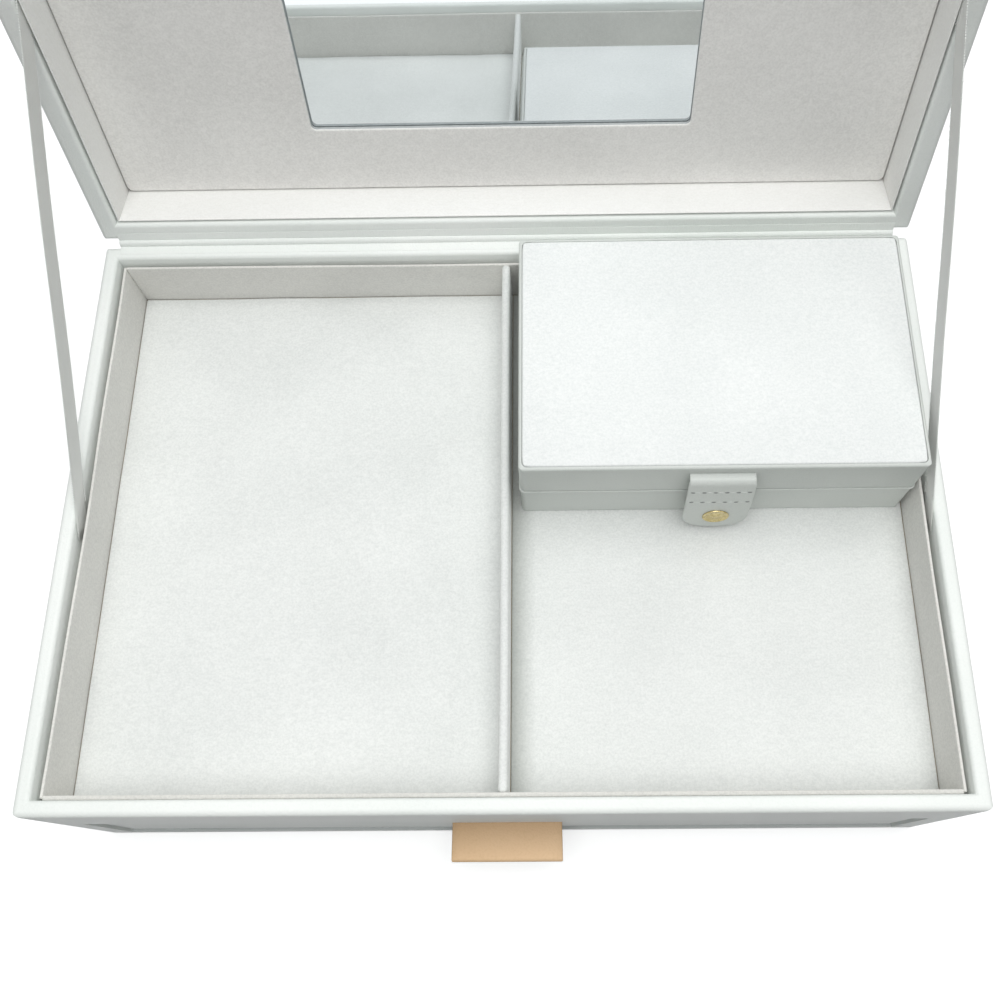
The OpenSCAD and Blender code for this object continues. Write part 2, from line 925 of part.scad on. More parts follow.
// Ribbon on the right: taut between its ends, with tails tucked straight down into the two gaps
module ribbon() {
    lap = ribbon_t;
    translate(ribbon_from)
        rotate([0, 0, ribbon_yaw])
            rotate([ribbon_pitch, 0, 0])
                translate([-ribbon_t / 2, 0, -ribbon_w / 2])
                    cube([ribbon_t, ribbon_free, ribbon_w]);
    translate(ribbon_from)
        rotate([ribbon_pitch, 0, 0])
            translate([-ribbon_t / 2, -ribbon_tail, -ribbon_w / 2])
                cube([ribbon_t, ribbon_tail + lap, ribbon_w]);
    translate(ribbon_to)
        rotate([ribbon_pitch, 0, 0])
            translate([-ribbon_t / 2, -lap, -ribbon_w / 2])
                cube([ribbon_t, ribbon_tail + lap, ribbon_w]);
}

module ribbon_left() {
    color("#c9ccc6")
        mirror([1, 0, 0])
            ribbon();
}

module ribbon_right() {
    color("#c9ccc6")
        ribbon();
}

// Moves what is drawn round the middle of the travel case to its place
module at_case() {
    translate([case_x, case_y, 0])
        children();
}

// Block of boards of one half of the case, from z0 to z1
module case_core(z0, z1) {
    translate([0, 0, z0])
        linear_extrude(z1 - z0)
            round_plan(2 * case_core_w, 2 * case_core_d, case_corner_r - wrap_t);
}

// Space inside the boards of the case, from z0 to z1
module case_inside(z0, z1) {
    span([-case_in_w, -case_in_d, z0], [case_in_w, case_in_d, z1]);
}

// Boards of the lower half, drawn round the middle of the case
module low_tray() {
    difference() {
        case_core(case_z + wrap_t, case_part_z - wrap_t);
        case_inside(case_z + wrap_t + case_board_t, case_part_z);
    }
}

// Boards of the upper half, with room above for the padded panel
module high_tray() {
    difference() {
        case_core(case_lid_z + wrap_t, case_panel_z - wrap_t);
        case_inside(case_lid_z, case_panel_z - wrap_t - case_board_t);
    }
}

module case_base_boards() {
    color("tan")
        at_case()
            low_tray();
}

module case_base_wrap() {
    color("#a9afa8")
        at_case()
            difference() {
                soft_block(case_w, case_d, case_z, case_part_z,
                           case_corner_r, case_edge_r, case_edge_r / 2);
                low_tray();
                case_inside(case_z + wrap_t + case_board_t, case_part_z + over);
            }
}

module case_base_lining() {
    inside = case_lining_t;
    floor_level = case_z + wrap_t + case_board_t;
    color("#e6ebea")
        at_case()
            difference() {
                case_inside(floor_level, case_part_z - case_lining_step);
                span([inside - case_in_w, inside - case_in_d, floor_level + inside],
                     [case_in_w - inside, case_in_d - inside, case_part_z]);
            }
}

module case_lid_boards() {
    color("tan")
        at_case()
            high_tray();
}

// Leatherette of the upper half, with a shallow pocket on top for the padded panel
module case_lid_wrap() {
    color("#9fa5a0")
        at_case()
            difference() {
                soft_block(case_w, case_d, case_lid_z, case_top_z,
                           case_corner_r, case_edge_r / 2, case_edge_r);
                high_tray();
                case_inside(case_lid_z - over, case_panel_z - wrap_t - case_board_t);
                translate([0, 0, case_panel_z])
                    linear_extrude(case_panel_t + over)
                        round_plan(case_panel_w + 2 * case_panel_gap, case_panel_d + 2 * case_panel_gap,
                                   case_corner_r);
            }
}

module case_lid_lining() {
    inside = case_lining_t;
    roof_level = case_panel_z - wrap_t - case_board_t;
    color("#e6ebea")
        at_case()
            difference() {
                case_inside(case_lid_z + case_lining_step, roof_level);
                span([inside - case_in_w, inside - case_in_d, case_lid_z],
                     [case_in_w - inside, case_in_d - inside, roof_level - inside]);
            }
}

// Suede-covered pad on top of the case
module case_top_panel() {
    color("#f0f6f5")
        at_case()
            soft_block(case_panel_w, case_panel_d, case_panel_z, case_top_z + case_panel_rise,
                       case_corner_r, case_panel_rise / 2 + 0.1, case_panel_rise + 0.2);
}

// Strip hinge over the parting line at the back of the case, with a rolled crease on the hinge line
module case_hinge_strip() {
    hinge_mid_z = case_part_z + case_part_gap / 2;
    color("#a9afa8")
        translate([case_x, 0, 0])
            along_x(case_w - 2 * case_hinge_inset) {
                translate([case_back_y, hinge_mid_z - case_hinge_h / 2])
                    square([case_hinge_t, case_hinge_h]);
                translate([case_hinge_y, hinge_mid_z])
                    circle(case_crease_r);
            }
}

// Carries what is drawn on the fastened snap tab to where the unfastened tab has it
module snap_hangs() {
    translate([case_x, snap_axis_y, snap_axis_z])
        rotate([-snap_rest, 0, 0])
            translate([0, -snap_axis_y, -snap_axis_z])
                children();
}

// Turned piece of the press stud, drawn along +Z and turned to face the front at height z
module facing_front(y, z) {
    translate([0, y, z])
        rotate([90, 0, 0])
            children();
}

// Lower half of the press stud: a foot and a nipple with a round nose
module case_stud() {
    color("goldenrod")
        translate([case_x, 0, 0])
            facing_front(case_front_y, stud_z)
                rotate_extrude() {
                    square([stud_foot_r, stud_foot_t]);
                    square([nipple_r, stud_foot_t + nipple_len - nipple_r / 2]);
                    translate([0, stud_foot_t])
                        square([nipple_r / 2, nipple_len]);
                    intersection() {
                        translate([nipple_r / 2, stud_foot_t + nipple_len - nipple_r / 2])
                            circle(nipple_r / 2);
                        square([nipple_r, stud_foot_t + nipple_len]);
                    }
                }
}

// Strip with a round root at the case front, folded over at the top and hanging down
module snap_tab() {
    color("#aeb3ae")
        snap_hangs()
            difference() {
                intersection() {
                    along_x(snap_w) {
                        translate([snap_axis_y, snap_axis_z])
                            circle(snap_t / 2);
                        translate([snap_flap_y, snap_axis_z - snap_t / 2])
                            square([snap_fold, snap_t]);
                        translate([snap_flap_y, snap_axis_z])
                            circle(snap_t / 2);
                        translate([snap_front_y, snap_low_z])
                            square([snap_t, snap_len]);
                    }
                    along_y(box_d)
                        edge_profile(snap_w, snap_low_z, snap_axis_z + snap_t, snap_r, snap_t / 2);
                }
                facing_front(snap_back_y + over, stud_z)
                    cylinder(r = post_r, h = snap_t + 2 * over);
            }
}

// Gold cap with a rounded edge, a shallow dished face and the post through the tab
module snap_cap() {
    edge = cap_h / 2;
    color("goldenrod")
        snap_hangs()
            facing_front(snap_front_y, stud_z)
                rotate_extrude() {
                    square([cap_r - edge, cap_h - edge / 2]);
                    square([cap_r, cap_h - edge]);
                    translate([cap_r - edge, cap_h - edge])
                        circle(edge);
                    translate([0, -snap_t])
                        square([post_r, snap_t]);
                }
}

// Socket behind the tab, open towards the stud
module snap_socket() {
    color("goldenrod")
        snap_hangs()
            facing_front(snap_back_y + socket_t, stud_z)
                difference() {
                    cylinder(r = socket_r, h = socket_t);
                    translate([0, 0, -over])
                        cylinder(r = nipple_r + nipple_gap, h = socket_t + over - socket_floor);
                }
}

base_felt();
base_bottom_board();
base_left_board();
base_right_board();
base_back_board();
base_front_frame();
base_wrap();
drawer_bay_floor();
drawer_guide_left();
drawer_guide_right();
tray_shelf();
tray_pad_left();
tray_pad_right();
tray_liner_left();
tray_liner_right();
tray_liner_front();
tray_liner_back();
tray_divider();
drawer_front_board();
drawer_front_wrap();
drawer_bottom();
drawer_left_side();
drawer_right_side();
drawer_back();
drawer_lining();
pull_tab();
lid_left_board();
lid_right_board();
lid_front_board();
lid_back_board();
lid_top_board();
lid_foam();
lid_wrap();
lid_lining_left();
lid_lining_right();
lid_lining_front();
lid_lining_back();
mirror_panel();
mirror_glass();
mirror_spacer();
hinge_strip();
hinge_lining();
ribbon_left();
ribbon_right();
case_base_boards();
case_base_wrap();
case_base_lining();
case_stud();
case_lid_boards();
case_lid_wrap();
case_lid_lining();
case_top_panel();
case_hinge_strip();
snap_tab();
snap_cap();
snap_socket();
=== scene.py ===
# %% [markdown]
# # A vanity box with a mirror in its lid
# This script dresses the CAD model of a wrapped rigid box. The model comes in as a fixed frame:
# every board, card and hinge is already in its place. Hard pieces keep their CAD mesh and get a
# better material here. Soft pieces, such as pads, ribbons and folded strips, are built again.

# %% Load the frame
import json
import math

import bmesh
import bpy
import numpy as np
from mathutils import Matrix, Vector


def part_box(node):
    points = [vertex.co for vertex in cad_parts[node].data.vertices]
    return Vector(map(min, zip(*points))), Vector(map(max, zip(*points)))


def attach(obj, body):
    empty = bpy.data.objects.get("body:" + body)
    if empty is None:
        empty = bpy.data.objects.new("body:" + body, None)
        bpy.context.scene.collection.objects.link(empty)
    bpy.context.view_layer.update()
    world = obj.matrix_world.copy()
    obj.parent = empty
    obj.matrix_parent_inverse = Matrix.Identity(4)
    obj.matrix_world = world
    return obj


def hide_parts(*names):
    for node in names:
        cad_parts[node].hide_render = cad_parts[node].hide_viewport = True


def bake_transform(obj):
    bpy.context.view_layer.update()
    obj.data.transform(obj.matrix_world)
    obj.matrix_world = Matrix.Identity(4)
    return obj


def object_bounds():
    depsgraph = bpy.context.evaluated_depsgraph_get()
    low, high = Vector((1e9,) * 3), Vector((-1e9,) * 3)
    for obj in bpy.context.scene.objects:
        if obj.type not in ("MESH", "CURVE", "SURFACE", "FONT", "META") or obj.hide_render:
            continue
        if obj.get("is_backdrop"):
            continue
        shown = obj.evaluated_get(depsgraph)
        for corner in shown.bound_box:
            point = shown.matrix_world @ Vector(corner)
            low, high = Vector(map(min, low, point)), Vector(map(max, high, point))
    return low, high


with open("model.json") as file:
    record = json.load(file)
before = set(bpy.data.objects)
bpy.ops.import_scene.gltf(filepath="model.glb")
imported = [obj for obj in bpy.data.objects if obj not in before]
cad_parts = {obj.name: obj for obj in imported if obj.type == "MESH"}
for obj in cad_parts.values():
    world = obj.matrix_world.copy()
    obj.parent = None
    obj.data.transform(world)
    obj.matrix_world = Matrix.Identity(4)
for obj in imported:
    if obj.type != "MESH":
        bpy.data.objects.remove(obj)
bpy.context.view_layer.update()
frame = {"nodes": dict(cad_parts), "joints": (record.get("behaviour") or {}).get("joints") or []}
nodes = frame["nodes"]

# %% [markdown]
# ## Measures
# All shapes below are worked out in millimetres, because that is how such a box is made, and are
# turned to metres in one place. Sizes are read from the CAD nodes, so nothing is typed twice.

# %% Units and the joints
MM = 0.001
joints = {j["name"]: j for j in frame["joints"]}


def box_mm(node):
    """Lowest and highest corner of a CAD node at rest, in millimetres."""
    low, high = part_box(node)
    return np.array(low) / MM, np.array(high) / MM


HINGE = np.array(joints["lid_hinge"]["pos_m"]) / MM
OPEN_DEG = -joints["lid_hinge"]["range_deg"][0]
print("lid hinge at", HINGE.round(2), "mm, open by", OPEN_DEG, "degrees")


def turned(points, pivot, degrees):
    """Points turned about the X direction through a pivot; a positive angle lifts the front."""
    a = math.radians(degrees)
    p = np.array(points, float) - pivot
    y = p[:, 1] * math.cos(a) + p[:, 2] * math.sin(a)
    z = -p[:, 1] * math.sin(a) + p[:, 2] * math.cos(a)
    return np.column_stack([p[:, 0], y, z]) + pivot


def open_lid(points):
    """Carries points of the closed lid to where the open lid has them."""
    return turned(points, HINGE, OPEN_DEG)


def closed_box_mm(node):
    """Corners of a lid node as it lies when the lid is closed, in millimetres."""
    mesh = nodes[node].data
    p = turned(np.array([v.co for v in mesh.vertices]) / MM, HINGE, -OPEN_DEG)
    return p.min(0), p.max(0)


# %% [markdown]
# ## The camera
# The photo was taken from above and in front with a phone. Place, aim, focal length and the
# centre of the picture were worked out from the box's own straight edges. The camera looks
# 69 degrees down, and the shift says how far the optical axis is from the middle of the frame.

# %% Camera
camera = bpy.data.objects.new("camera", bpy.data.cameras.new("camera"))
bpy.context.scene.collection.objects.link(camera)
bpy.context.scene.camera = camera
right = Vector((0.999863, -0.005535, -0.015589))
down = Vector((-0.010681, -0.935638, -0.352806))
ahead = Vector((-0.012633, 0.352924, -0.935570))
turn = Matrix((right, -down, -ahead)).transposed().to_4x4()
camera.matrix_world = Matrix.Translation((0.01806, -0.1272, 0.4040)) @ turn
camera.data.sensor_width = 36.0
camera.data.lens = 37.418
camera.data.shift_x = -0.0427
camera.data.shift_y = 0.0075
camera.data.clip_start = 0.01
print("camera", camera.location, "lens", camera.data.lens)

# %% [markdown]
# ## Light and background
# The photo has bright, soft light from above: upward faces are almost white, upright faces are
# much greyer. One wide lamp overhead gives that, and a sky that is brighter above than at the
# horizon fills the shadows. The white background is only painted for the camera and for what
# mirrors it, so that it puts no light on the box.

# %% View settings and node helpers
scene = bpy.context.scene
scene.view_settings.view_transform = "Standard"


def srgb(r, g, b):
    """A colour as a picture shows it, 0 to 255, as the linear values that a shader wants."""
    return tuple(v / 12.92 if v <= 0.04045 else ((v + 0.055) / 1.055) ** 2.4
                 for v in (r / 255, g / 255, b / 255)) + (1.0,)


def new_node(tree, kind, inputs={}, **settings):
    """Adds a node. Each input, named or numbered, gets a value or a link from an output."""
    node = tree.nodes.new(kind)
    for name, value in settings.items():
        setattr(node, name, value)
    for key, value in inputs.items():
        if isinstance(value, bpy.types.NodeSocket):
            tree.links.new(value, node.inputs[key])
        else:
            node.inputs[key].default_value = value
    return node


def two_tone(tree, value, dark, light, low=0.35, high=0.65):
    """Colour between two tones, from a value."""
    node = new_node(tree, "ShaderNodeValToRGB", {0: value})
    for element, place, colour in zip(node.color_ramp.elements, (low, high), (dark, light)):
        element.position = place
        element.color = colour
    return node.outputs["Color"]


def seen_rays(tree):
    """1 for rays that come straight from the camera, or by way of metal and glass; 0 for light."""
    rays = new_node(tree, "ShaderNodeLightPath").outputs
    total = rays["Is Camera Ray"]
    for kind in ("Is Glossy Ray", "Is Transmission Ray"):
        total = new_node(tree, "ShaderNodeMath", {0: total, 1: rays[kind]}, operation="MAXIMUM").outputs[0]
    return total


def end_with(tree, kind, for_light, when_seen):
    """Ends a tree: one shader for light that bounces, another for what is seen."""
    pick = new_node(tree, "ShaderNodeMixShader",
                    {0: seen_rays(tree), 1: for_light.outputs[0], 2: when_seen.outputs[0]})
    new_node(tree, kind, {"Surface": pick.outputs[0]})


print("view transform:", scene.view_settings.view_transform)

# %% Sky and lamp
sky = bpy.data.worlds.new("soft sky")
scene.world = sky
sky.use_nodes = True
tree = sky.node_tree
tree.nodes.clear()
HORIZON, ZENITH = (0.05, 0.051, 0.053, 1), (0.54, 0.545, 0.55, 1)
where = new_node(tree, "ShaderNodeTexCoord").outputs["Generated"]
height = new_node(tree, "ShaderNodeSeparateXYZ", {0: where}).outputs["Z"]
light = new_node(tree, "ShaderNodeBackground", {"Color": two_tone(tree, height, HORIZON, ZENITH, 0.0, 0.9)})
white = new_node(tree, "ShaderNodeBackground", {"Color": (1, 1, 1, 1)})
end_with(tree, "ShaderNodeOutputWorld", light, white)

lamp = bpy.data.objects.new("overhead lamp", bpy.data.lights.new("overhead lamp", "AREA"))
scene.collection.objects.link(lamp)
for setting, value in (("shape", "RECTANGLE"), ("size", 1.6), ("size_y", 0.8), ("energy", 12.5),
                       ("color", (1.0, 1.0, 0.99))):
    setattr(lamp.data, setting, value)
lamp.location = (0.10, -0.04, 1.30)
lamp.rotation_mode = "QUATERNION"
lamp.rotation_quaternion = (-lamp.location).to_track_quat("-Z", "Y")
print("sky and lamp are set")

# %% [markdown]
# ## The floor
# A pale sheet that takes the box's soft shadow. For the camera it is lifted to white. It throws
# only a little light back up, because the box's front is clearly darker than its top.

# %% Floor
bpy.ops.mesh.primitive_plane_add(size=8, location=(0, 0, 0))
floor = bpy.context.object
floor.name = "floor"
paper = bpy.data.materials.new("white paper sweep")
paper.use_nodes = True
tree = paper.node_tree
tree.nodes.clear()
dull = new_node(tree, "ShaderNodeBsdfDiffuse", {"Color": (0.08, 0.08, 0.085, 1)})
bright = new_node(tree, "ShaderNodeBsdfDiffuse", {"Color": (0.86, 0.87, 0.87, 1)})
glow = new_node(tree, "ShaderNodeEmission", {"Strength": 0.45})
lifted = new_node(tree, "ShaderNodeAddShader", {0: bright.outputs[0], 1: glow.outputs[0]})
end_with(tree, "ShaderNodeOutputMaterial", dull, lifted)
floor.data.materials.append(paper)
floor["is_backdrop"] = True
print("floor laid")

# %% [markdown]
# ## Materials
# Every finish is a Principled shader. Its colour, roughness and bump come from noise on Object
# coordinates, which are metres here, so a scale of 1000 means features of about a millimetre.
# What is the same all over is set on the shader's own socket.

# %% Helpers for materials
def new_material(name, **fixed):
    """A material with an empty Principled shader, whose fixed sockets are set by name."""
    m = bpy.data.materials.new(name)
    m.use_nodes = True
    shader = m.node_tree.nodes["Principled BSDF"]
    for socket, value in fixed.items():
        shader.inputs[socket.replace("_", " ")].default_value = value
    return m, m.node_tree, shader


def noise(tree, scale, detail=2.0, roughness=0.5, stretch=(1, 1, 1)):
    """Noise of the given scale, on coordinates that can be stretched. Returns its value socket."""
    where = new_node(tree, "ShaderNodeTexCoord").outputs["Object"]
    mapped = new_node(tree, "ShaderNodeMapping", {0: where, "Scale": stretch}).outputs[0]
    return new_node(tree, "ShaderNodeTexNoise", {"Vector": mapped, "Scale": scale, "Detail": detail,
                                                 "Roughness": roughness}).outputs["Fac"]


def pebbles(tree, scale):
    """Rounded cells, as in pressed leather grain. Returns the distance socket."""
    where = new_node(tree, "ShaderNodeTexCoord").outputs["Object"]
    cells = new_node(tree, "ShaderNodeTexVoronoi", {"Vector": where, "Scale": scale}, feature="SMOOTH_F1")
    cells.inputs["Smoothness"].default_value = 0.6
    return cells.outputs["Distance"]


def spread(tree, value, low, high, to_low, to_high):
    """Stretches a value from one range to another."""
    inputs = {"Value": value, "From Min": low, "From Max": high, "To Min": to_low, "To Max": to_high}
    return new_node(tree, "ShaderNodeMapRange", inputs).outputs["Result"]


def mixed(tree, first, second, share, kind="MIX"):
    """Mix of two colours by a share. Each of the three is a value or a socket."""
    return new_node(tree, "ShaderNodeMix", {0: share, 6: first, 7: second},
                    data_type="RGBA", blend_type=kind).outputs[2]


def bumped(tree, shader, *layers):
    """Bump layers, each (height socket, distance in metres, strength), one over the other."""
    below = {}
    for height, distance, strength in layers:
        node = new_node(tree, "ShaderNodeBump",
                        {"Height": height, "Distance": distance, "Strength": strength, **below})
        below = {"Normal": node.outputs["Normal"]}
    tree.links.new(below["Normal"], shader.inputs["Normal"])


def toned(tree, share, colour):
    """Multiplies what feeds the base colour by a colour, as far as a value from 0 to 1 says."""
    base = tree.nodes["Principled BSDF"].inputs["Base Color"]
    tree.links.new(mixed(tree, base.links[0].from_socket, colour, share, "MULTIPLY"), base)


def by_name(tree, name):
    """The value of a named attribute of the mesh, which is 0 on a mesh that has none."""
    return new_node(tree, "ShaderNodeAttribute", attribute_name=name).outputs["Fac"]


# %% [markdown]
# ### Leatherette
# The cover of base, lid, drawer front and travel case. It is a white coated cloth with a fine
# pressed grain and a satin face: a pebble pattern of about half a millimetre for the grain, and
# a very soft unevenness from the glue and board under it.

# %% Leatherette
def leatherette(name, dark, light, roughness, grain=1700.0):
    m, tree, shader = new_material(name, Specular_IOR_Level=0.25)
    cells = pebbles(tree, grain)
    fine = noise(tree, 5200.0, 3.0)
    tone = two_tone(tree, noise(tree, 16.0), dark, light)
    pores = two_tone(tree, cells, light, dark, 0.45, 0.95)
    tree.links.new(mixed(tree, tone, pores, 0.35), shader.inputs["Base Color"])
    rough = spread(tree, fine, 0.3, 0.7, roughness - 0.06, roughness + 0.08)
    tree.links.new(rough, shader.inputs["Roughness"])
    bumped(tree, shader, (noise(tree, 90.0), 0.0010, 0.10), (cells, 0.00012, 0.55), (fine, 0.00004, 0.5))
    return m


WHITE = srgb(237, 242, 238), srgb(247, 250, 247)
white_leatherette = leatherette("white leatherette", *WHITE, 0.50)
case_leatherette = leatherette("travel case leatherette", srgb(204, 209, 205), srgb(216, 220, 216),
                               0.42, 1900.0)
gold_leatherette = leatherette("peach gold leatherette", srgb(215, 181, 140), srgb(229, 196, 157),
                               0.45, 1500.0)
tree = gold_leatherette.node_tree
tree.nodes["Principled BSDF"].inputs["Metallic"].default_value = 0.1
# Painted shade: the pull tab is darker towards its root, under the box's rim.
toned(tree, by_name(tree, "painted_root_shade"), (0.70, 0.69, 0.68, 1))
print("leatherettes:", white_leatherette.name, case_leatherette.name, gold_leatherette.name)

# %% [markdown]
# The base has the same white cover. On the narrow sill under the drawer's front a painted shade
# darkens its colour: low down, and only where the face looks up.

# %% Base leatherette
base_leatherette = leatherette("base leatherette", *WHITE, 0.50)
tree = base_leatherette.node_tree
upward = []
for kind, output in (("ShaderNodeTexCoord", "Object"), ("ShaderNodeNewGeometry", "Normal")):
    source = new_node(tree, kind).outputs[output]
    upward.append(new_node(tree, "ShaderNodeSeparateXYZ", {0: source}).outputs["Z"])
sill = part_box("drawer_front_wrap")[0][2]
# Painted shade on the sill: darker low down, where the face looks up.
painted_sill_shade = new_node(tree, "ShaderNodeMath", {0: spread(tree, upward[0], sill + 0.0006, sill + 0.0001, 0, 1),
                                         1: spread(tree, upward[1], 0.2, 0.8, 0, 1)}, operation="MULTIPLY")
toned(tree, painted_sill_shade.outputs[0], (0.55, 0.56, 0.57, 1))
print("painted_shade up to", round(1000 * sill + 0.6, 1), "mm")

# %% [markdown]
# ### Suede cloth
# The linings have a short brushed pile. Close up it shows as a fine sparkle of lighter and
# darker specks, and from further off as soft patches where the pile lies another way. Sheen on
# the shader gives the pale bloom that pile has at a slant.

# %% Suede
def suede(name, dark, light, sheen=0.25):
    m, tree, shader = new_material(name, Roughness=0.92, Specular_IOR_Level=0.2, Sheen_Weight=sheen,
                                   Sheen_Roughness=0.45)
    specks = noise(tree, 1250.0, 4.0, 0.7)
    brushed = noise(tree, 420.0, 3.0, 0.6, (1.0, 2.2, 1.0))
    spot = two_tone(tree, specks, dark, light, 0.36, 0.62)
    lie = two_tone(tree, brushed, dark, light, 0.3, 0.7)
    soft = two_tone(tree, noise(tree, 22.0), dark, light, 0.3, 0.7)
    tree.links.new(mixed(tree, mixed(tree, spot, lie, 0.35), soft, 0.3), shader.inputs["Base Color"])
    bumped(tree, shader, (brushed, 0.00025, 0.35), (specks, 0.00010, 0.6))
    return m


pale_suede = suede("pale suede", srgb(216, 219, 217), srgb(241, 243, 241))
warm_suede = suede("warm grey suede", srgb(213, 212, 208), srgb(238, 237, 232))
lid_lining = suede("ivory lining", srgb(240, 240, 237), srgb(253, 253, 251), 0.1)
panel_suede = suede("panel suede", srgb(226, 225, 222), srgb(253, 252, 249))
case_suede = suede("bright suede", srgb(225, 229, 228), srgb(247, 249, 248))
# Painted shade: the pale suede darkens where a pad's mesh carries it, beside the divider.
toned(pale_suede.node_tree, by_name(pale_suede.node_tree, "painted_divider_shade"), (0.62, 0.63, 0.61, 1))
print("suedes:", pale_suede.name, warm_suede.name, lid_lining.name, panel_suede.name)

# %% [markdown]
# ### Board, paper, felt and foam
# The boards are pressed grey pulp; the drawer's sides and the floor of its bay are covered with
# white paper. Both are mostly out of sight, yet they show when the drawer is out.

# %% Board, paper, felt, foam
def fibres(name, dark, light, scale, roughness=0.9, depth=0.4, sheen=0.0):
    m, tree, shader = new_material(name, Roughness=roughness, Specular_IOR_Level=0.25, Sheen_Weight=sheen)
    pulp = noise(tree, scale, 5.0, 0.7)
    strands = noise(tree, scale * 0.4, 3.0, 0.6, (1.0, 5.0, 2.0))
    tones = [two_tone(tree, value, dark, light) for value in (pulp, strands)]
    tree.links.new(mixed(tree, *tones, 0.4), shader.inputs["Base Color"])
    bumped(tree, shader, (strands, 0.0002, depth), (pulp, 0.0001, depth))
    return m


greyboard = fibres("pressed greyboard", srgb(172, 162, 146), srgb(198, 189, 172), 900.0)
white_paper = fibres("white paper", srgb(232, 234, 231), srgb(243, 244, 241), 1400.0, 0.75, 0.2)
white_felt = fibres("white felt", srgb(228, 229, 226), srgb(244, 245, 242), 2200.0, 0.95, 0.9, 0.3)
cut_card = fibres("grey card edge", srgb(166, 170, 170), srgb(186, 190, 190), 900.0, 0.8)
foam = fibres("cream foam", srgb(232, 226, 206), srgb(244, 239, 222), 1500.0, 0.9, 0.6)
print("boards and felt:", greyboard.name, white_paper.name, white_felt.name, foam.name)

# %% [markdown]
# ### Metal, glass and thread
# The press stud is thinly plated in pale gold and finely spun. The mirror is silvered glass: a
# metal shader with almost no roughness and the faint cool tint of the glass over it.

# %% Metal, mirror, thread
def metal(name, dark, light, tone_scale, noise_inputs, roughness):
    """A metal whose tone and roughness vary a little: (noise from, to, roughness from, to)."""
    m, tree, shader = new_material(name, Metallic=1.0)
    tree.links.new(two_tone(tree, noise(tree, tone_scale), dark, light), shader.inputs["Base Color"])
    tree.links.new(spread(tree, noise(tree, *noise_inputs), *roughness), shader.inputs["Roughness"])
    return m, tree, shader


pale_gold, tree, shader = metal("pale gold plate", srgb(196, 178, 126), srgb(220, 204, 156), 900.0,
                                (2500.0, 3.0), (0.3, 0.7, 0.18, 0.32))
bumped(tree, shader, (noise(tree, 3500.0), 0.00002, 0.3))
mirror = metal("silvered glass", srgb(223, 227, 229), srgb(229, 233, 235), 30.0,
               (60.0, 4.0), (0.35, 0.75, 0.012, 0.035))[0]


def twisted(name, dark, light):
    """Sewing thread, with a fine unevenness from its twist."""
    m, tree, shader = new_material(name, Roughness=0.6, Sheen_Weight=0.3)
    tree.links.new(two_tone(tree, noise(tree, 6000.0), dark, light), shader.inputs["Base Color"])
    bumped(tree, shader, (noise(tree, 5000.0), 0.00005, 0.6))
    return m


# Dark dashes of painted shade that stand for the shadowed needle holes of the snap tab's seams.
hole_shade_thread = twisted("needle hole shade", srgb(112, 117, 115), srgb(146, 150, 147))
pale_thread = twisted("pale thread", srgb(198, 203, 199), srgb(224, 227, 224))
white_thread = twisted("white thread", srgb(226, 230, 227), srgb(248, 250, 248))
print("metal, mirror and thread are ready")

# %% [markdown]
# ## Dressing the hard pieces
# Boards, papers, felt, glass and metal keep their CAD mesh. A node gets its finish by putting
# the material into its slots.

# %% Materials for the CAD nodes
FINISHES = {
    greyboard: ["base_bottom_board", "base_left_board", "base_right_board", "base_back_board",
                "base_front_frame", "tray_shelf", "drawer_front_board", "drawer_bottom",
                "lid_left_board", "lid_right_board", "lid_front_board", "lid_back_board",
                "lid_top_board", "mirror_spacer", "case_base_boards", "case_lid_boards"],
    white_paper: ["drawer_bay_floor", "drawer_guide_left", "drawer_guide_right", "drawer_left_side",
                  "drawer_right_side", "drawer_back"],
    white_leatherette: ["lid_wrap", "drawer_front_wrap"],
    base_leatherette: ["base_wrap"],
    case_leatherette: ["case_base_wrap", "case_lid_wrap"],
    pale_suede: ["case_base_lining", "case_lid_lining"],
    white_felt: ["base_felt"],
    foam: ["lid_foam"],
    mirror: ["mirror_glass"],
    pale_gold: ["case_stud", "snap_socket"],
}
for material, names in FINISHES.items():
    for node in names:
        slots = nodes[node].data.materials
        slots.clear()
        slots.append(material)
print("dressed", sum(len(v) for v in FINISHES.values()), "CAD nodes")

# %% [markdown]
# ## Soft slabs
# Pads, covered cards and panels are all thin slabs with rounded edges. A cube with a bevel would
# do for one of them, but here each slab also gets a grid over its faces, so that it can be
# bowed, crowned and dented by a rule. The grid lines crowd together over the rounded edges.

# %% A slab with rounded edges
def stops(low, high, r, step, arc):
    """Grid lines along one side: close together over the rounded ends, even between them."""
    bend = r * np.tan(np.linspace(0, math.pi / 4, arc + 1))
    count = max(2, round((high - low - 2 * r) / step))
    between = np.linspace(low + r, high - r, count + 1)[1:-1]
    return np.concatenate([low + r - bend[::-1], between, high - r + bend])


def slab(low, high, r, step=8.0, arc=3):
    """Points and quads of a slab between two corners, all edges rounded with radius r."""
    low, high = np.array(low, float), np.array(high, float)
    lines = [stops(low[a], high[a], r, step, arc) for a in range(3)]
    index, points, quads = {}, [], []

    def corner(key):
        if key not in index:
            index[key] = len(points)
            points.append([lines[a][key[a]] for a in range(3)])
        return index[key]

    for a in range(3):
        b, c = (a + 1) % 3, (a + 2) % 3
        for side in (0, len(lines[a]) - 1):
            for i in range(len(lines[b]) - 1):
                for j in range(len(lines[c]) - 1):
                    ring = [(i, j), (i + 1, j), (i + 1, j + 1), (i, j + 1)]
                    keys = []
                    for u, v in ring if side else ring[::-1]:
                        key = [0, 0, 0]
                        key[a], key[b], key[c] = side, u, v
                        keys.append(corner(tuple(key)))
                    quads.append(keys)
    p = np.array(points)
    core = np.clip(p, low + r, high - r)
    outward = p - core
    return core + r * outward / np.linalg.norm(outward, axis=1, keepdims=True), quads


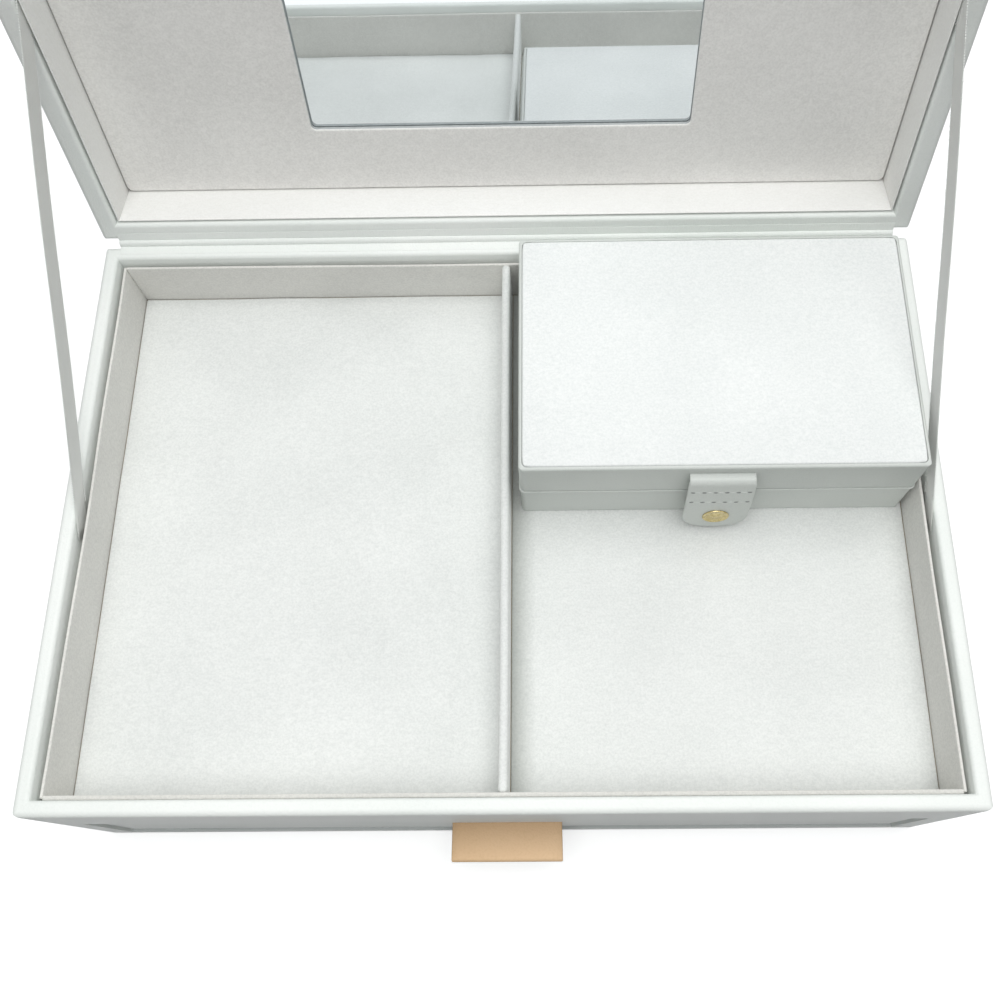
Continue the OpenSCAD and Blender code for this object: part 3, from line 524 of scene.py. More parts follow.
def waves(p, rule):
    """Soft unevenness: a sum of fixed sine waves, each (height, length along x, y and z, start)."""
    total = np.zeros(len(p))
    for height, along, start in rule:
        k = np.array([0 if not length else 2 * math.pi / length for length in along])
        total += height * np.sin(p @ k + start)
    return total


def eased(share):
    """A share from 0 to 1 that starts and ends softly."""
    return share * share * (3 - 2 * share)


def share_along(p, low, high, axis):
    """How far points lie along one side of a box, from 0 to 1."""
    return np.clip((p[:, axis] - low[axis]) / (high[axis] - low[axis]), 0, 1)


def add_piece(name, points, faces, material, body, stands_for=(), smooth=True):
    """Makes a mesh of points in millimetres a piece that moves with a CAD body."""
    mesh = bpy.data.meshes.new(name)
    mesh.from_pydata([tuple(v) for v in np.array(points) * MM], [], faces)
    mesh.update()
    obj = bpy.data.objects.new(name, mesh)
    scene.collection.objects.link(obj)
    mesh.materials.append(material)
    for face in mesh.polygons:
        face.use_smooth = smooth
    if body:
        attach(obj, body)
    if stands_for:
        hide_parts(*stands_for)
    return obj


# %% [markdown]
# ## The tray's pads
# Each compartment has a padded floor: suede cloth over a thin foam sheet. The cloth is pulled
# round the edges, so the pad is highest a little way in and drops softly to its rim.

# %% Tray pads
def crown(p, low, high, rise, margin, drop=0.0):
    """Lifts the upper face by rise and lets it drop at its edges, over a margin."""
    inset = np.minimum(p - low, high - p)[:, :2].min(1)
    share = eased(np.clip(inset / margin, 0, 1))
    return share_along(p, low, high, 2) * (rise * share - drop * (1 - share))


PAD_WAVES = [(0.05, (61, 83, 0), 0.4), (0.04, (-47, 38, 0), 1.9), (0.03, (29, 71, 0), 3.1)]


def mark(obj, name, values):
    """Stores one number per point, for a material to read."""
    layer = obj.data.attributes.new(name, "FLOAT", "POINT")
    layer.data.foreach_set("value", np.array(values, float))


PAD_PLAY = np.array([0.25, 0.25, 0])
PAD_EDGE = 9.0
for name, node, rise in (("left_pad", "tray_pad_left", 0.45), ("right_pad", "tray_pad_right", 0.12)):
    low, high = box_mm(node)
    p, quads = slab(low + PAD_PLAY, high - PAD_PLAY, 0.55, 4.0)
    p[:, 2] += crown(p, low, high, rise, PAD_EDGE, 0.5) * (1 + waves(p, PAD_WAVES) * 4)
    pad = add_piece(name, p, quads, pale_suede, "base", [node])
    # Painted shade along the right pad's left edge, next to the divider; the left pad gets none.
    mark(pad, "painted_divider_shade", np.clip(1 - (p[:, 0] - low[0]) / PAD_EDGE, 0, 1) * (node == "tray_pad_right"))
    print(name, len(pad.data.polygons), "faces")

# %% [markdown]
# ## Covered cards
# The walls of tray and lid are lined with thin card in suede cloth, slid in behind the pads and
# only glued at the bottom. Such cards never stand quite straight: each bows a little into the
# tray between its ends, most at its free top edge, and the cloth makes that edge round.

# %% Wall linings of the tray
CARD_R, CARD_GRID = 0.42, 6.0


def bowed_card(node, axis, inward, bow, phase):
    """A card whose flat side faces along axis, bowed inward most at its top edge."""
    low, high = box_mm(node)
    if bow < 0.1:
        low[axis] -= 0.5 * inward
    p, quads = slab(low, high, CARD_R, CARD_GRID)
    share, height = share_along(p, low, high, 1 - axis), share_along(p, low, high, 2)
    arch = np.sin(math.pi * share) ** 0.8 + 0.22 * np.sin(5 * math.pi * share + phase)
    p[:, axis] += inward * bow * arch * height ** 1.5
    p[:, 2] += 0.16 * np.sin(3.3 * math.pi * share + phase) * height
    return p, quads


WALLS = [("left", 0, 1), ("right", 0, -1), ("front", 1, 1), ("back", 1, -1)]
for (wall, *facing), bow, phase in zip(WALLS, (0.55, 0.45, 0.05, 0.30), (0.3, 1.7, 2.6, 0.9)):
    p, quads = bowed_card("tray_liner_" + wall, *facing, bow, phase)
    add_piece(wall + "_lining", p, quads, warm_suede, "base", ["tray_liner_" + wall])
print("linings:", [wall for wall, *_ in WALLS])

# %% [markdown]
# ## The divider
# A board wrapped in the same suede, with a fully round top. It stands on the shelf between the
# two pads and butts against the front and back linings.

# %% Divider
low, high = box_mm("tray_divider")
p, quads = slab(low, high, 1.4, 5.0, 5)
height = share_along(p, low, high, 2)
p[:, 0] += 0.22 * np.sin(2 * math.pi * (p[:, 1] - low[1]) / 230 + 0.5) * height
p[:, 2] += 0.10 * np.sin(2 * math.pi * p[:, 1] / 95 + 1.0) * height
add_piece("divider", p, quads, pale_suede, "base", ["tray_divider"])
print("divider", [round(v, 1) for v in high - low], "mm")

# %% [markdown]
# ## Linings of the lid
# The lid has the same kind of cards along its four walls. They are modelled on the closed lid,
# where they are straight with the axes, and carried to the open lid in one step. The right and the
# back one stay quite flat, because the travel case comes within a tenth of them when the lid closes.

# %% Lid linings
panel_low, panel_high = closed_box_mm("mirror_panel")
CARD_MORE = panel_high[2] - panel_low[2] - 0.1  # so that no gap shows between panel and card


def lid_card(node, axis, inward, bow, phase):
    """The same for the lid, with a deeper card that reaches in behind the panel's face."""
    low, high = closed_box_mm(node)
    high[2] += CARD_MORE
    p, quads = slab(low, high, 0.45 * (high[axis] - low[axis]), CARD_GRID)
    share, free = share_along(p, low, high, 1 - axis), 1 - share_along(p, low, high, 2)
    arch = np.sin(math.pi * share) + 0.3 * np.sin(6 * math.pi * share + phase)
    p[:, axis] += inward * bow * arch * free
    return open_lid(p), quads


for (wall, *facing), bow, phase in zip(WALLS, (0.25, 0.0, 0.25, 0.0), (0.4, 1.2, 2.2, 0.1)):
    p, quads = lid_card("lid_lining_" + wall, *facing, bow, phase)
    add_piece("lid_" + wall + "_lining", p, quads, lid_lining, "lid", ["lid_lining_" + wall])
print("lid linings end", round(CARD_MORE, 1), "mm behind the panel's face")

# %% [markdown]
# ## The panel round the mirror
# A card covered in suede with a window cut in it. The cloth is turned through the window and
# glued behind, so the window has a soft rolled edge. The mesh is a loft: rings of points run
# from the panel's back edge over its face to the window and round that edge to the back.

# %% Mirror panel
def round_rect(w, d, r, per_side, per_corner):
    """Points round a rectangle with round corners, starting at the right side, anticlockwise."""
    corners = np.array([(1, 1), (-1, 1), (-1, -1), (1, -1)]) * [w / 2 - r, d / 2 - r]
    ring = []
    for k, centre in enumerate(corners):
        for i in range(per_corner + 1):
            a = math.radians(90 * k + 90 * i / per_corner)
            ring.append(centre + [r * math.cos(a), r * math.sin(a)])
        step = (corners[(k + 1) % 4] - centre) / per_side
        ring += [ring[-1] + step * i for i in range(1, per_side)]
    return np.array(ring)


def loft(rings, caps=False):
    """Joined points of closed rings of equal length, and the quads between the rings."""
    n = len(rings[0])
    quads = []
    for k in range(len(rings) - 1):
        for i in range(n):
            j = (i + 1) % n
            quads.append([k * n + i, k * n + j, (k + 1) * n + j, (k + 1) * n + i])
    if caps:
        quads.append(list(range(n))[::-1])
        quads.append([(len(rings) - 1) * n + i for i in range(n)])
    return np.vstack(rings), quads


def fix_normals(obj):
    """Merges doubles and turns all faces of a closed mesh outwards."""
    bm = bmesh.new()
    bm.from_mesh(obj.data)
    bmesh.ops.remove_doubles(bm, verts=bm.verts, dist=1e-7)
    bmesh.ops.recalc_face_normals(bm, faces=bm.faces)
    bm.to_mesh(obj.data)
    bm.free()
    return obj


WINDOW = (134.0, 137.0, 1.8)
PANEL_GAP = 0.35
side_card, back_card = closed_box_mm("lid_lining_right"), closed_box_mm("lid_lining_back")
outer = round_rect(2 * (side_card[0][0] - PANEL_GAP), 2 * (back_card[0][1] - PANEL_GAP), 2.0, 24, 6)
inner = round_rect(*WINDOW, 24, 6)
face_z, back_z = panel_low[2], panel_high[2]
EDGE_R, OUTER_R = 0.55, 0.8


def at(ring, z):
    return np.column_stack([ring, np.full(len(ring), z)])


rings = [at(outer, back_z)]
shrink, grow = outer / np.abs(outer).max(0), inner / np.abs(inner).max(0)
for a in np.radians(np.linspace(0, 90, 5)):
    rings.append(at(outer - shrink * OUTER_R * (1 - math.cos(a)), face_z + OUTER_R * (1 - math.sin(a))))
for share in (0.01, 0.04, 0.1, 0.2, 0.35, 0.5, 0.65, 0.8, 0.9, 0.96):
    ring = (outer - shrink * OUTER_R) * (1 - share) + inner * share
    rings.append(at(ring, face_z - 0.12 * math.sin(math.pi * share)))
for a in np.radians(np.linspace(0, 90, 7)):
    rings.append(at(inner + grow * EDGE_R * (1 - math.sin(a)), face_z + EDGE_R * (1 - math.cos(a))))
rings += [at(inner + 0.8 * grow, face_z + EDGE_R + 0.1), at(inner + 0.8 * grow, back_z), rings[0]]
p, quads = loft(rings)
panel = add_piece("mirror_surround", open_lid(p), quads, panel_suede, "lid", ["mirror_panel"])
fix_normals(panel)
print("panel", len(panel.data.polygons), "faces, window", WINDOW[:2], "mm")

# %% [markdown]
# In the window the cut edge of the grey card shows under the rolled cloth. It stops a hair above
# the glass, and this gap is the thin dark line that is seen all round a framed mirror.

# %% Cut edge of the card
GLASS_GAP = 0.3
above, below, hidden = face_z + EDGE_R, back_z - GLASS_GAP, inner + 0.7 * grow
rings = [at(inner, above), at(inner, below), at(hidden, below), at(hidden, above), at(inner, above)]
p, quads = loft(rings)
card_edge = add_piece("window_edge", open_lid(p), quads, cut_card, "lid", smooth=False)
fix_normals(card_edge)
print("card edge", round(below - above, 2), "mm deep")

# %% [markdown]
# ## The travel case's padded top
# The little case has a pad of suede cloth on its lid, pulled over foam. Its corners are round
# in plan, and it is highest in the middle. A square grid is bent to round corners by a rule
# that turns a square into a disc, used only within one radius of each corner.

# %% Case top pad
def round_corners(p, low, high, r):
    """Bends the square corners of a slab, seen from above, into quarter circles of radius r."""
    middle, half = ((low + high) / 2)[:2], ((high - low) / 2)[:2]
    past = (np.abs(p[:, :2] - middle) - (half - r)) / r
    at_corner = (past > 0).all(1)
    u, v = np.clip(past, 0, 1).T
    bent = np.column_stack([u * np.sqrt(1 - v * v / 2), v * np.sqrt(1 - u * u / 2)])
    q = p.copy()
    q[at_corner, :2] = (middle + np.sign(p[:, :2] - middle) * (half - r + r * bent))[at_corner]
    return q


low, high = box_mm("case_top_panel")
p, quads = slab(low, high, 0.7, 3.0, 4)
p = round_corners(p, low, high, 2.0)
p[:, 2] += crown(p, low, high, 0.5, 9.0) * (1 + 4 * waves(p, PAD_WAVES))
case_pad = add_piece("case_top_pad", p, quads, case_suede, "case_lid", ["case_top_panel"])
print("case pad", [round(v, 1) for v in high - low], "mm")

# %% [markdown]
# The travel case closes flush. Along the open edge of its lower half the leatherette is turned
# over a cord, which stands out as a fine bead under the parting line.

# %% Bead round the travel case
low, high = box_mm("case_base_wrap")
BEAD_R = 0.36
middle, extent = (low + high)[:2] / 2, (high - low)[:2]
rings = []
for a in np.radians(np.arange(0, 361, 30)):
    edge = round_rect(*(extent + 2 * BEAD_R * math.cos(a)), 2.0, 20, 6) + middle
    rings.append(at(edge, high[2] - BEAD_R + BEAD_R * math.sin(a)))
p, quads = loft(rings)
bead = fix_normals(add_piece("case_bead", p, quads, case_leatherette, "travel_case"))
print("bead", len(bead.data.polygons), "faces")

# %% [markdown]
# ## Strips of leatherette
# Pull tab, snap tab, hinge strips and ribbons are all flat strips that follow a path seen from
# the side. One helper makes them: at each point of the path it sets a thin outline with round
# edges, square to the path, and joins the outlines. The two ends are closed by a flat face.

# %% A strip along a path
def distances(path):
    """Distance of each point from the path's start, measured along it."""
    return np.concatenate([[0], np.cumsum(np.linalg.norm(np.diff(path, axis=0), axis=1))])


def along_path(path, step):
    """The path's points, at even spacing."""
    path = np.array(path, float)
    s = distances(path)
    even = np.linspace(0, s[-1], max(2, round(s[-1] / step)) + 1)
    return np.column_stack([np.interp(even, s, path[:, k]) for k in range(path.shape[1])])


def strip(path, half_width, thickness, across, x=0.0):
    """Points and faces of a strip whose path is given as (y, z) points. Width may vary by point."""
    path = np.array(path, float)
    n = len(path)
    way = np.gradient(path, axis=0)
    way /= np.linalg.norm(way, axis=1, keepdims=True)
    widths, radii = np.broadcast_to(half_width, n), np.broadcast_to(thickness, n) / 2
    a = np.radians(np.linspace(-90, 90, 7))
    rings = []
    for (y, z), (ty, tz), w, r in zip(path, way, widths, radii):
        side = np.column_stack([w - r + r * np.cos(a), r * np.sin(a)])
        top = np.column_stack([np.linspace(w - r, r - w, across + 1)[1:-1], np.full(across - 1, r)])
        ring = np.vstack([side, top, -side, -top])
        rings.append(np.column_stack([x + ring[:, 0], y - tz * ring[:, 1], z + ty * ring[:, 1]]))
    return loft(rings, caps=True)


def arc_points(centre, r, start, end, count):
    """Points (y, z) on an arc, angles in degrees from +Y towards +Z."""
    a = np.radians(np.linspace(start, end, count))
    return [(centre[0] + r * math.cos(v), centre[1] + r * math.sin(v)) for v in a]


# %% [markdown]
# ## The pull tab
# A strip of peach-gold leatherette, folded over at its tip and glued to itself. It passes
# through a slot in the drawer front, and its two ends are spread and glued behind the board.
# It is drawn as the one folded strip that it is, so the fold at the tip and the joint line
# along its edges are real.

# %% Pull tab
low, high = box_mm("pull_tab")
board_low, board_high = box_mm("drawer_front_board")
LAYER, BEND_R = 0.78, 0.9
half_gap = LAYER / 2 + 0.06
half_w, mid_z = (high[0] - low[0]) / 2, (low[2] + high[2]) / 2
under_z, over_z = mid_z - half_gap, mid_z + half_gap
tip_y, back_y = low[1], board_high[1] + LAYER / 2
fold_y, bend_y = tip_y + LAYER / 2 + half_gap, back_y - BEND_R
path = [(back_y, low[2]), (back_y, under_z - BEND_R)]
path += arc_points((bend_y, under_z - BEND_R), BEND_R, 0, 90, 6)[1:] + [(fold_y, under_z)]
path += arc_points((fold_y, mid_z), half_gap, 270, 90, 9)[1:] + [(bend_y, over_z)]
path += arc_points((bend_y, over_z + BEND_R), BEND_R, 270, 360, 6)[1:] + [(back_y, high[2])]
path = along_path(path, 0.35)
out_by = np.clip((board_low[1] - 2 - path[:, 0]) / (board_low[1] - 2 - tip_y), 0, 1)
path[:, 1] -= 0.7 * out_by ** 2
p, faces = strip(path, half_w - 0.15 + 0.15 * out_by, LAYER, across=14)
p[:, 2] += 0.12 * np.sin(p[:, 0] / 7.0 + 0.6) * np.clip((board_low[1] - 3 - p[:, 1]) / 9, 0, 1)
tab = add_piece("pull_tab_strip", p, faces, gold_leatherette, "drawer", ["pull_tab"])
# Painted shade, full at the tab's root behind the rim and fading to none at its tip.
mark(tab, "painted_root_shade", np.clip((p[:, 1] - tip_y - 1.0) / (board_low[1] - tip_y - 1.0), 0, 1))
fix_normals(tab)
print("pull tab reaches", round(board_low[1] - tip_y, 1), "mm in front of its board")

# %% [markdown]
# ## The snap tab
# Two layers of the case's leatherette, sewn together. The strap comes out of the case's lid, folds
# over and hangs down the front, a little off the case because the stiff fold pushes it away.
# Its root lies along the lid and its flap is turned out to where it hangs, with a soft bend between them.

# %% Snap tab
snap = joints["snap_tab_hinge"]
SNAP_AXIS = np.array(snap["pos_m"]) / MM
SNAP_REST = -snap["range_deg"][0]
case_front = box_mm("case_lid_wrap")[0][1]
# Half width, length, radius of the round tip and thickness of one layer.
SNAP_W, SNAP_LEN, SNAP_R, SNAP_T = 11.25, 31.5, 8.0, 0.66
FOLD_R, FROM_MIDDLE, CUPPED = 1.9, 0.36, 0.42
flap_y, top_z = SNAP_AXIS[1] - 1.7, SNAP_AXIS[2]


def hang(points):
    """Turns points of the fastened tab outwards, as the unfastened tab hangs at rest."""
    return turned(points, SNAP_AXIS, SNAP_REST)


def bowed(down_by):
    """How far the flap stands out from a flat one, from the fold (0) to the tip (1)."""
    return 1.1 * np.sin(math.pi * down_by)


def creased(run):
    """Depth of the crease that the fold leaves in the front layer, by distance along it."""
    return 0.26 * np.exp(-((run - 1.35) / 0.42) ** 2) - 0.08 * np.exp(-((run - 2.3) / 0.5) ** 2)


def strap(offset, length, root_y):
    """Path and half widths of one layer, offset outwards from the middle of the two."""
    r = FOLD_R + offset
    centre = (flap_y + FOLD_R, top_z - FOLD_R)
    path = [(root_y, centre[1] + r + 0.1)] + arc_points(centre, r, 90, 180, 12)
    path = along_path(path + [(flap_y - offset, top_z - length)], 0.4)
    if offset > 0:
        inwards = (centre - path) / np.linalg.norm(centre - path, axis=1)[:, None]
        at_fold = path[:, 1] > centre[1] - 1
        path = path + (creased(distances(path)) * at_fold)[:, None] * inwards
    s = np.clip(path[:, 1] - (top_z - length), 0, None)
    near = np.clip(SNAP_R - s, 0, SNAP_R)
    width = SNAP_W - SNAP_R + np.sqrt(SNAP_R ** 2 - near ** 2)
    down_by = np.clip((top_z - path[:, 1]) / length, 0, 1)
    path[:, 0] -= bowed(down_by)
    return path, np.maximum(width, SNAP_W - SNAP_R + 0.4) - 0.25 * (down_by < 0.04)


for name, offset, length, root_y in (
        ("snap_strap_front", FROM_MIDDLE, SNAP_LEN, case_front + 0.05),
        ("snap_strap_back", -FROM_MIDDLE, SNAP_LEN - 0.3, case_front - 0.15)):
    path, width = strap(offset, length, root_y)
    flat = np.column_stack([np.full(len(path), SNAP_AXIS[0]), path])
    share = eased(np.clip((case_front - 0.2 - path[:, 0]) / 1.6, 0, 1))[:, None]
    rest = (flat * (1 - share) + hang(flat) * share)[:, 1:]
    p, faces = strip(rest, width, SNAP_T, across=10, x=SNAP_AXIS[0])
    side = (p[:, 0] - SNAP_AXIS[0]) / SNAP_W
    p[:, 1] += CUPPED * side ** 2 * np.clip((top_z - p[:, 2]) / SNAP_LEN, 0, 1)
    layer = fix_normals(add_piece(name, p, faces, case_leatherette, None))
    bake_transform(layer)
    if offset > 0:
        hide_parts("snap_tab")
print("snap tab hangs", SNAP_REST, "degrees off the case")

# %% [markdown]
# ## Stitches on the snap tab
# Two rows of short stitches hold the layers together. A row of equal things at equal spacing
# is what Geometry Nodes are good at: a grid of points, a small stitch put on each, and a touch
# of random turn so that they look sewn by hand. The tree's inputs are its sizes.

# %% Stitch tree
def new_tree(name, inputs):
    """A Geometry Nodes tree with named inputs, and the sockets that hand those out inside it."""
    tree = bpy.data.node_groups.new(name, "GeometryNodeTree")
    tree.interface.new_socket("Geometry", in_out="INPUT", socket_type="NodeSocketGeometry")
    for title, kind, value in inputs:
        socket = tree.interface.new_socket(title, in_out="INPUT", socket_type="NodeSocket" + kind)
        if value is not None:
            socket.default_value = value
    tree.interface.new_socket("Geometry", in_out="OUTPUT", socket_type="NodeSocketGeometry")
    return tree, new_node(tree, "NodeGroupInput").outputs


def put_on_points(tree, given, placing):
    """Ends a tree: an instance on each point, made real, painted and handed out."""
    place = new_node(tree, "GeometryNodeInstanceOnPoints", placing)
    solid = new_node(tree, "GeometryNodeRealizeInstances", {0: place.outputs[0]})
    paint = new_node(tree, "GeometryNodeSetMaterial", {0: solid.outputs[0], "Material": given["Thread"]})
    new_node(tree, "NodeGroupOutput", {0: paint.outputs[0]})


def node_mesh(name, tree, values, start=None):
    """Runs a tree with the given input values and returns the result as a plain mesh."""
    obj = bpy.data.objects.new(name, start or bpy.data.meshes.new(name))
    scene.collection.objects.link(obj)
    modifier = obj.modifiers.new(name, "NODES")
    sockets = {s.name: s.identifier for s in tree.interface.items_tree if s.in_out == "INPUT"}
    modifier.node_group = tree
    for title, value in values.items():
        modifier[sockets[title]] = value
    bpy.context.view_layer.update()
    depsgraph = bpy.context.evaluated_depsgraph_get()
    mesh = bpy.data.meshes.new_from_object(obj.evaluated_get(depsgraph))
    obj.modifiers.remove(modifier)
    bpy.data.objects.remove(obj)
    return mesh


stitch_tree, given = new_tree("rows of stitches", [
    ("Stitches", "Int", 6), ("Rows", "Int", 2), ("Width", "Float", 0.018), ("Row Gap", "Float", 0.007),
    ("Length", "Float", 0.002), ("Thickness", "Float", 0.0006), ("Seed", "Int", 3),
    ("Thread", "Material", None)])
grid = new_node(stitch_tree, "GeometryNodeMeshGrid", {
    "Size X": given["Width"], "Size Y": given["Row Gap"], "Vertices X": given["Stitches"],
    "Vertices Y": given["Rows"]})
ball = new_node(stitch_tree, "GeometryNodeMeshUVSphere", {"Segments": 10, "Rings": 6, "Radius": 0.5})
size = new_node(stitch_tree, "ShaderNodeCombineXYZ", {
    "X": given["Length"], "Y": given["Thickness"], "Z": given["Thickness"]})
wobble = new_node(stitch_tree, "FunctionNodeRandomValue", {2: -0.12, 3: 0.12, "Seed": given["Seed"]},
                  data_type="FLOAT")
turn_by = new_node(stitch_tree, "ShaderNodeCombineXYZ", {"Z": wobble.outputs[1]})
put_on_points(stitch_tree, given, {
    "Points": grid.outputs["Mesh"], "Instance": ball.outputs["Mesh"], "Scale": size.outputs[0],
    "Rotation": turn_by.outputs[0]})
print("inputs:", list(given.keys())[:-1])

# %% Sew the stitches on the flap
# The grey dashes are painted shade for the needle holes; between them the pale thread lies on top.
def on_flap(points, below_top, lift):
    """Lays points of the XY plane on the outer face of the hanging flap, in millimetres."""
    q = np.array(points) / MM
    laid = np.column_stack([SNAP_AXIS[0] + q[:, 0], flap_y - FROM_MIDDLE - SNAP_T / 2 - lift - q[:, 2],
                            top_z - below_top + q[:, 1]])
    down_by = np.clip((top_z - laid[:, 2]) / SNAP_LEN, 0, 1)
    laid[:, 1] += CUPPED * (q[:, 0] / SNAP_W) ** 2 * down_by - bowed(down_by)
    return hang(laid)


SEAM_DROP = 8.6
# The first row is dark dashes of painted shade for the needle holes, the second the pale thread.
for name, row_finish, lift, count, width, length, thickness, seed in (
        ("snap_hole_shade", hole_shade_thread, -0.22, 6, 0.0190, 0.0019, 0.0009, 4),
        ("snap_thread", pale_thread, -0.15, 5, 0.0152, 0.0021, 0.0007, 9)):
    mesh = node_mesh(name, stitch_tree, {
        "Stitches": count, "Rows": 2, "Width": width, "Row Gap": 0.0060, "Length": length,
        "Thickness": thickness, "Seed": seed, "Thread": row_finish})
    faces = [tuple(f.vertices) for f in mesh.polygons]
    points = on_flap([v.co for v in mesh.vertices], SEAM_DROP, lift)
    fix_normals(add_piece(name, points, faces, row_finish, "snap_tab"))
    bpy.data.meshes.remove(mesh)
    print(name, len(faces), "faces")

# %% [markdown]
# ## The press stud's cap
# A turned cap with a rolled edge and a shallow dish in its face, riveted through the flap. A
# turned shape is a profile of (radius, height) points spun about the stud's axis.

# %% Cap
def lathe(profile, count=48):
    """Points and faces of a profile of (radius, height) pairs spun about Z, closed at both ends."""
    rings = []
    for r, h in profile:
        a = np.linspace(0, 2 * math.pi, count, endpoint=False)
        rings.append(np.column_stack([r * np.cos(a), r * np.sin(a), np.full(count, h)]))
    return loft(rings, caps=True)


CAP_R, ROLL_R = 4.3, 0.34
profile = [(1.2, -1.4), (1.2, 0.0), (CAP_R, 0.0)]
profile += [(CAP_R + ROLL_R * math.cos(a), 0.3 + 0.3 * math.sin(a))
            for a in np.radians(np.linspace(-75, 105, 9))]
profile += [(3.8, 0.44), (3.3, 0.30), (2.2, 0.26), (1.6, 0.30), (1.2, 0.40), (0.7, 0.46), (0.2, 0.47)]
p, faces = lathe(profile)
low, high = box_mm("case_stud")
stud_drop = top_z - (low[2] + high[2]) / 2
points = on_flap(p * MM, stud_drop, 0.0)
fix_normals(add_piece("press_cap", points, faces, pale_gold, "snap_tab", ["snap_cap"]))
print("cap", round(2 * (CAP_R + ROLL_R), 2), "mm across,", round(stud_drop, 1), "mm below the fold")

# %% [markdown]
# ## Hinge strips
# A rigid box has no metal hinge. A strip of leatherette is glued over the back of the joint, and
# a thinner one lines the inside. Both only bend in the narrow part next to the hinge line, so
# their meshes are fine there: an arc round the hinge line, drawn as the open lid has it.

# %% Strips over and inside the joint
def rest_lid(y, z):
    """A (y, z) point of the closed lid as the open lid has it."""
    return tuple(open_lid([[0.0, y, z]])[0, 1:])


low, high = box_mm("hinge_strip")
back_y = -box_mm("base_wrap")[0][1]
strip_t = 0.6
mid_r = HINGE[1] - back_y - strip_t / 2
half_hinge = (high[0] - low[0]) / 2
flap = HINGE[2] - low[2]
glued = [0.35, 0.6, 0.8, 0.92, 0.97]
path = [(back_y + strip_t / 2, low[2] + flap * share) for share in [0] + glued]
path += arc_points(HINGE[1:], mid_r, 180, 180 - OPEN_DEG, 22)
path += [rest_lid(back_y + strip_t / 2, HINGE[2] + flap * (1 - share)) for share in (glued[::-1] + [0])]
p, faces = strip(path, half_hinge, strip_t - 0.02, across=36)
outer_strip = add_piece("hinge_outside", p, faces, white_leatherette, None)

low, high = box_mm("hinge_lining")
lining_t = 0.4
lining_r = HINGE[1] - back_y + 0.05 + lining_t / 2
rim_z = box_mm("base_wrap")[1][2]
lid_leg_z = HINGE[2] - lining_t / 2
lid_angle = OPEN_DEG - 180 + math.degrees(math.asin(lining_t / 2 / lining_r))
FOLD_IN = 0.3
fold = (HINGE[1] - lining_r - FOLD_IN, rim_z + lining_t / 2)
path = [(low[1], fold[1]), fold]
path += arc_points((fold[0], fold[1] + FOLD_IN), FOLD_IN, 270, 360, 5)[1:]
path += arc_points(HINGE[1:], lining_r, 180, -lid_angle + 6, 20)
path += [rest_lid(HINGE[1] - lining_r - 0.25, lid_leg_z), rest_lid(low[1], lid_leg_z)]
path = along_path(path, 0.2)
run = np.linspace(0, 1, len(path))
skived = np.clip(np.minimum(run, 1 - run) / 0.3, 0.04, 1) ** 0.6
path[:, 1] -= np.where(run < 0.3, (lining_t - 0.02) * (1 - skived) / 2, 0)
p, faces = strip(path, half_hinge, (lining_t - 0.02) * skived, across=60)
inner_strip = add_piece("hinge_inside", p, faces, white_leatherette, None)
for obj, node in ((outer_strip, "hinge_strip"), (inner_strip, "hinge_lining")):
    fix_normals(obj)
    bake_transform(obj)
    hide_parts(node)
print("hinge strips", round(2 * half_hinge), "mm long")

# %% [markdown]
# The travel case has such a strip too. It is narrow, so that it clears the box's rim when the
# case is opened in its place, and it has a rolled crease on the hinge line.

# %% Strip at the back of the travel case
low, high = box_mm("case_hinge_strip")
pivot = np.array(joints["case_lid_hinge"]["pos_m"]) / MM
crease_r, reach = 0.45, 5.0
zs = np.concatenate([np.linspace(-reach, -crease_r, 9)[:-1], crease_r * np.linspace(-1, 1, 13),
                     np.linspace(crease_r, reach, 9)[1:]])
crease = 2 * np.sqrt(np.clip(crease_r ** 2 - zs ** 2, 0, None))
path = np.column_stack([np.full(len(zs), pivot[1]), pivot[2] + zs])
p, faces = strip(path, (high[0] - low[0]) / 2, np.maximum(0.50, crease), across=20, x=pivot[0])
case_strip = fix_normals(add_piece("case_hinge", p, faces, case_leatherette, None))
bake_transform(case_strip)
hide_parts("case_hinge_strip")
print("case strip", [round(v, 1) for v in high - low], "mm")

# %% [markdown]
# ## Ribbons
# Two flat stays keep the lid from falling back. Each is a woven ribbon, thin at its
# selvedge, tucked behind the wall lining of the tray at one end and of the lid at the other.
# They are pulled taut in the open pose. The weave is drawn from UV coordinates that run along
# and across the ribbon.

# %% Ribbon material
satin, tree, shader = new_material(
    "grey satin ribbon", Roughness=0.5, Specular_IOR_Level=0.45, Sheen_Weight=0.35,
    Subsurface_Weight=0.6, Subsurface_Scale=0.002, Subsurface_Radius=(1, 1, 1))
rib = new_node(tree, "ShaderNodeTexWave", {
    "Vector": new_node(tree, "ShaderNodeTexCoord").outputs["UV"], "Scale": 0.9, "Distortion": 0.6},
    wave_type="BANDS", bands_direction="X").outputs["Fac"]
lie = two_tone(tree, noise(tree, 40.0), srgb(216, 219, 213), srgb(230, 232, 226), 0.3, 0.7)
weave = two_tone(tree, rib, srgb(206, 209, 203), srgb(232, 234, 229))
tree.links.new(mixed(tree, weave, lie, 0.6), shader.inputs["Base Color"])
bumped(tree, shader, (rib, 0.00006, 0.5), (noise(tree, 3000.0, 3.0), 0.00004, 0.5))
print("ribbon material:", satin.name)

# %% Ribbon mesh
TAIL, RIBBON_W, HALF_T = 12.0, 8.5, 0.15


